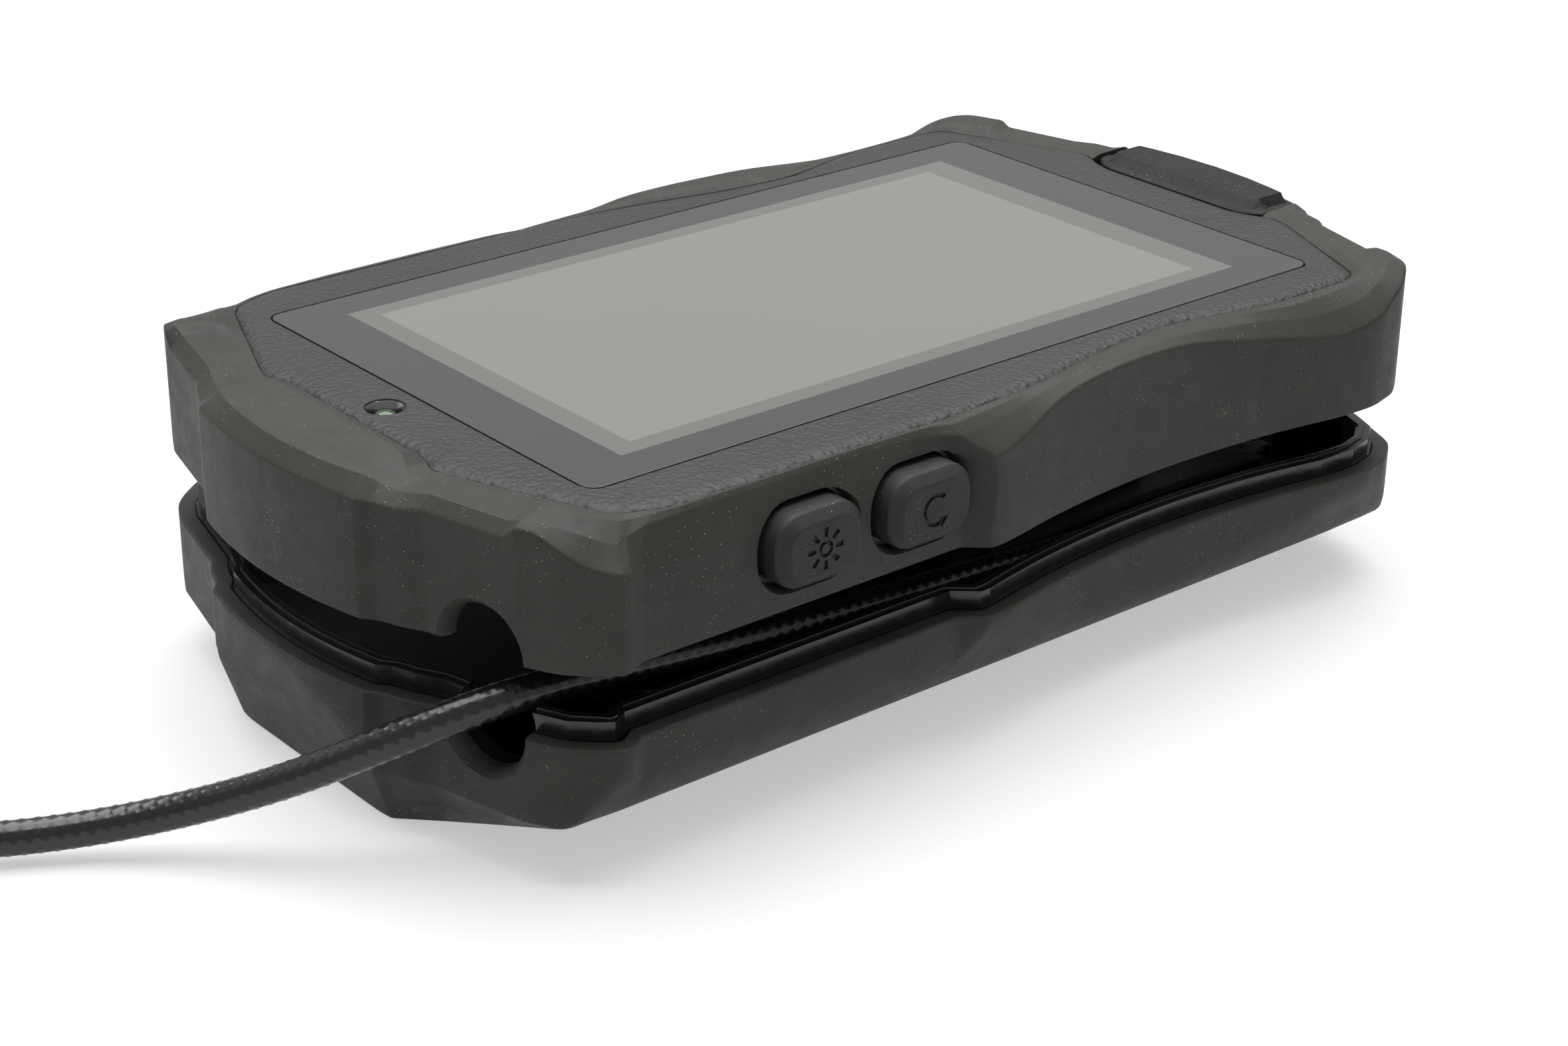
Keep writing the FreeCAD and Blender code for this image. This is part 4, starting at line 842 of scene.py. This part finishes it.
# ------------------------------------------------------------------ cable
COIL_HALF_WIDTH, COIL_HALF_LENGTH, COIL_CORNER = 33.9, 50.0, 21.5
COIL_TURNS = 1.5
FIRST_TURN = 8.65
COIL_START_Y = -14.0
POINTS_PER_TURN = 36
FREE_ROUTE = [
    (34.8, -6.0, 16.7),
    (34.7, -21.0, 17.4),
    (34.9, -37.5, 18.9),
    (34.3, -52.8, 20.5),
    (31.2, -66.4, 20.0),
    (25.2, -76.2, 15.8),
    (17.2, -83.8, 10.2),
    (8.6, -91.8, 5.6),
    (1.2, -101.4, 3.0),
    (-5.0, -112.2, 2.6),
    (-12.4, -122.6, 4.1),
    (-20.4, -131.6, 4.1),
]
RIB_PITCH = 1.7
RIB_DEPTH = 0.07
RIBS_AROUND = 8
RIBBED_LENGTH = 0.200  # the stretch that can be seen, from the far end back


def racetrack(distance):
    """Point of the winding at a distance along it, clockwise from above, from the left side."""
    a, b = COIL_HALF_WIDTH - COIL_CORNER, COIL_HALF_LENGTH - COIL_CORNER
    quarter = math.pi / 2 * COIL_CORNER
    legs = [2 * b, quarter, 2 * a, quarter] * 2
    d = (distance + b) % sum(legs)
    centres = {1: (-a, b, math.pi), 3: (a, b, math.pi / 2), 5: (a, -b, 0),
               7: (-a, -b, -math.pi / 2)}
    starts = {0: ((-COIL_HALF_WIDTH, -b), (0, 1)), 2: ((-a, COIL_HALF_LENGTH), (1, 0)),
              4: ((COIL_HALF_WIDTH, b), (0, -1)), 6: ((a, -COIL_HALF_LENGTH), (-1, 0))}
    for leg, size in enumerate(legs):
        if d <= size:
            break
        d -= size
    if leg in starts:
        (x, y), (dx, dy) = starts[leg]
        return x + dx * d, y + dy * d
    x, y, first = centres[leg]
    angle = first - d / COIL_CORNER
    return x + COIL_CORNER * math.cos(angle), y + COIL_CORNER * math.sin(angle)


def coil_points():
    """Control points of the turns in the magazine, rising one cable a turn."""
    perimeter = 4 * (COIL_HALF_LENGTH + COIL_HALF_WIDTH - 2 * COIL_CORNER) \
        + 2 * math.pi * COIL_CORNER
    count = int(COIL_TURNS * POINTS_PER_TURN)
    points = []
    for n in range(count + 1):
        share = n / count
        x, y = racetrack(COIL_START_Y + share * COIL_TURNS * perimeter)
        points.append((x, y, FIRST_TURN + share * COIL_TURNS * CABLE))
    return points


def cable_spline():
    """The whole cable as one NURBS spline; its control points are the coil and the route."""
    points = coil_points() + FREE_ROUTE
    curve = bpy.data.curves.new("cable_line", "CURVE")
    curve.dimensions = "3D"
    curve.resolution_u = 16
    spline = curve.splines.new("NURBS")
    spline.points.add(len(points) - 1)
    for control, (x, y, z) in zip(spline.points, points):
        control.co = (x * MM, y * MM, z * MM, 1.0)
    spline.order_u = 3
    spline.use_endpoint_u = True
    return curve


def read_centreline(curve):
    """Points of the evaluated spline, in metres."""
    holder = bpy.data.objects.new("cable_line", curve)
    bpy.context.scene.collection.objects.link(holder)
    bpy.context.view_layer.update()
    line = bpy.data.meshes.new_from_object(
        holder.evaluated_get(bpy.context.evaluated_depsgraph_get()))
    points = np.array([v.co for v in line.vertices], float)
    bpy.data.objects.remove(holder)
    return points


def travelled(points):
    """Distance along a line of points, at each of them."""
    return np.concatenate([[0], np.cumsum(np.linalg.norm(np.diff(points, axis=0), axis=1))])


def sweep(name, line, radius_at):
    """Tube along a line; radius_at(distance, angle) is in metres. Frames don't twist."""
    around = 64
    tangents = np.gradient(line, axis=0)
    tangents /= np.linalg.norm(tangents, axis=1, keepdims=True)
    side = np.cross(tangents[0], (0, 0, 1.0))
    side /= np.linalg.norm(side)
    distances = travelled(line)
    angles = np.linspace(0, 2 * math.pi, around, endpoint=False)
    rings = []
    for point, tangent, distance in zip(line, tangents, distances):
        side = side - tangent * (side @ tangent)
        side /= np.linalg.norm(side)
        up = np.cross(side, tangent)
        radii = radius_at(distance, angles)
        rings.append(point + radii[:, None] * (np.cos(angles)[:, None] * side
                                               + np.sin(angles)[:, None] * up))
    return loft(name, np.array(rings) / MM, angle=80)


def ribbed_cable():
    """The cable's jacket along its spline, with shallow lumps where it can be seen."""
    line = read_centreline(cable_spline())
    along = travelled(line)
    total = along[-1]
    plain_end = total - RIBBED_LENGTH
    stations = np.concatenate([
        np.linspace(0, plain_end, int(plain_end / 0.0025)),
        np.arange(plain_end, total - 0.00001, RIB_PITCH * MM / 9)[1:], [total]])
    centre = np.stack([np.interp(stations, along, line[:, axis]) for axis in range(3)], axis=1)
    radius = CABLE / 2 * MM

    def radius_at(distance, angles):
        share = min(max((distance - plain_end) / 0.01, 0), 1)
        ripple = np.cos(2 * math.pi * distance / (RIB_PITCH * MM)) 
        ripple *= np.cos(RIBS_AROUND * angles)
        lump = np.clip(ripple, 0, 1) ** 1.5
        return radius - RIB_DEPTH * MM * share * (1 - lump)

    cable = sweep("ribbed_cable", centre, radius_at)
    finish_piece(cable, CABLE_BLACK, "magazine", ["probe_cable", "wound_cable"])
    print("cable length %.3f m" % total)


def folded_lead():
    """Flat lead between the magazine and the main board, laid in folds."""
    low, high = (Vector(corner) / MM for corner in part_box("flex_lead"))
    folds, film = 7, 0.11
    height, middle = high.z - low.z, (low.y + high.y) / 2
    swing = (high.y - low.y) / 2 - 2 * film
    sides = [], []
    for s in np.linspace(0, folds, folds * 12 + 1):
        turn = math.pi * s
        y, z = middle - swing * math.cos(turn), low.z + height * s / folds
        run = Vector((swing * math.pi * math.sin(turn), height / folds)).normalized()
        for side, sign in zip(sides, (1, -1)):
            side.append((y + sign * film * run.y, z - sign * film * run.x))
    outline = sides[0] + sides[1][::-1]
    rings = [[(x, y, min(max(z, low.z), high.z)) for y, z in outline]
             for x in np.linspace(low.x, high.x, 4)]
    lead = loft("folded_lead", rings)
    finish_piece(lead, FILM, "magazine", ["flex_lead"])
    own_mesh(lead)



ribbed_cable()
folded_lead()


# ------------------------------------------------------------------ stage
def camera():
    """Camera at the photograph's viewing angle."""
    azimuth, elevation, roll = math.radians(50.05), math.radians(24.69), math.radians(0.565)
    back = Vector((math.sin(azimuth) * math.cos(elevation),
                   -math.cos(azimuth) * math.cos(elevation), math.sin(elevation)))
    data = bpy.data.cameras.new("camera")
    data.sensor_width = 36.0
    data.lens = 69.2
    data.clip_start = 0.01
    eye = bpy.data.objects.new("camera", data)
    eye.location = (0.2634, -0.22295, 0.16839)
    turn = (-back).to_track_quat("-Z", "Y").to_matrix() @ Matrix.Rotation(roll, 3, "Z")
    eye.rotation_mode = "QUATERNION"
    eye.rotation_quaternion = turn.to_quaternion()
    bpy.context.scene.collection.objects.link(eye)
    bpy.context.scene.camera = eye


def area_light(name, place, aim, size, power):
    data = bpy.data.lights.new(name, "AREA")
    data.shape = "RECTANGLE"
    data.size, data.size_y = size
    data.energy = power
    light = bpy.data.objects.new(name, data)
    light.location = place
    light.rotation_mode = "QUATERNION"
    light.rotation_quaternion = (Vector(aim) - Vector(place)).to_track_quat("-Z", "Y")
    bpy.context.scene.collection.objects.link(light)


def stage():
    """Pale flat floor, soft boxes and a pale sky."""
    n = Nodes("floor_white")
    n.set(Base_Color=n.blend(n.noise(3, 2), rgb(0.355, 0.355, 0.355), rgb(0.365, 0.365, 0.362)))
    n.set(Roughness=0.75, Specular_IOR_Level=0.1)
    distance = n.add("ShaderNodeVectorMath", operation="LENGTH", Vector=n.place)
    glow = n.ramp(distance.outputs["Value"], 0.3, 1.2, 0.48, 0.95)
    n.set(Emission_Color=rgb(1, 0.995, 0.985), Emission_Strength=glow)
    floor = new_object("floor", [(-3000, -3000, 0), (3000, -3000, 0), (3000, 3000, 0),
                                 (-3000, 3000, 0)], [(0, 1, 2, 3)])
    floor.data.materials.append(n.material)
    floor.location.z = -0.0001
    world = bpy.data.worlds.new("studio")
    world.use_nodes = True
    world.node_tree.nodes["Background"].inputs["Color"].default_value = rgb(1, 1, 1)
    world.node_tree.nodes["Background"].inputs["Strength"].default_value = 0.5
    bpy.context.scene.world = world
    area_light("top_box", (-0.22, 0.14, 0.95), (0, 0, 0), (1.3, 1.2), 25)
    area_light("left_box", (-0.8, -0.6, 0.45), (0, 0, 0.02), (0.8, 0.6), 0.9)
    bpy.context.scene.view_settings.view_transform = "Standard"


camera()
stage()
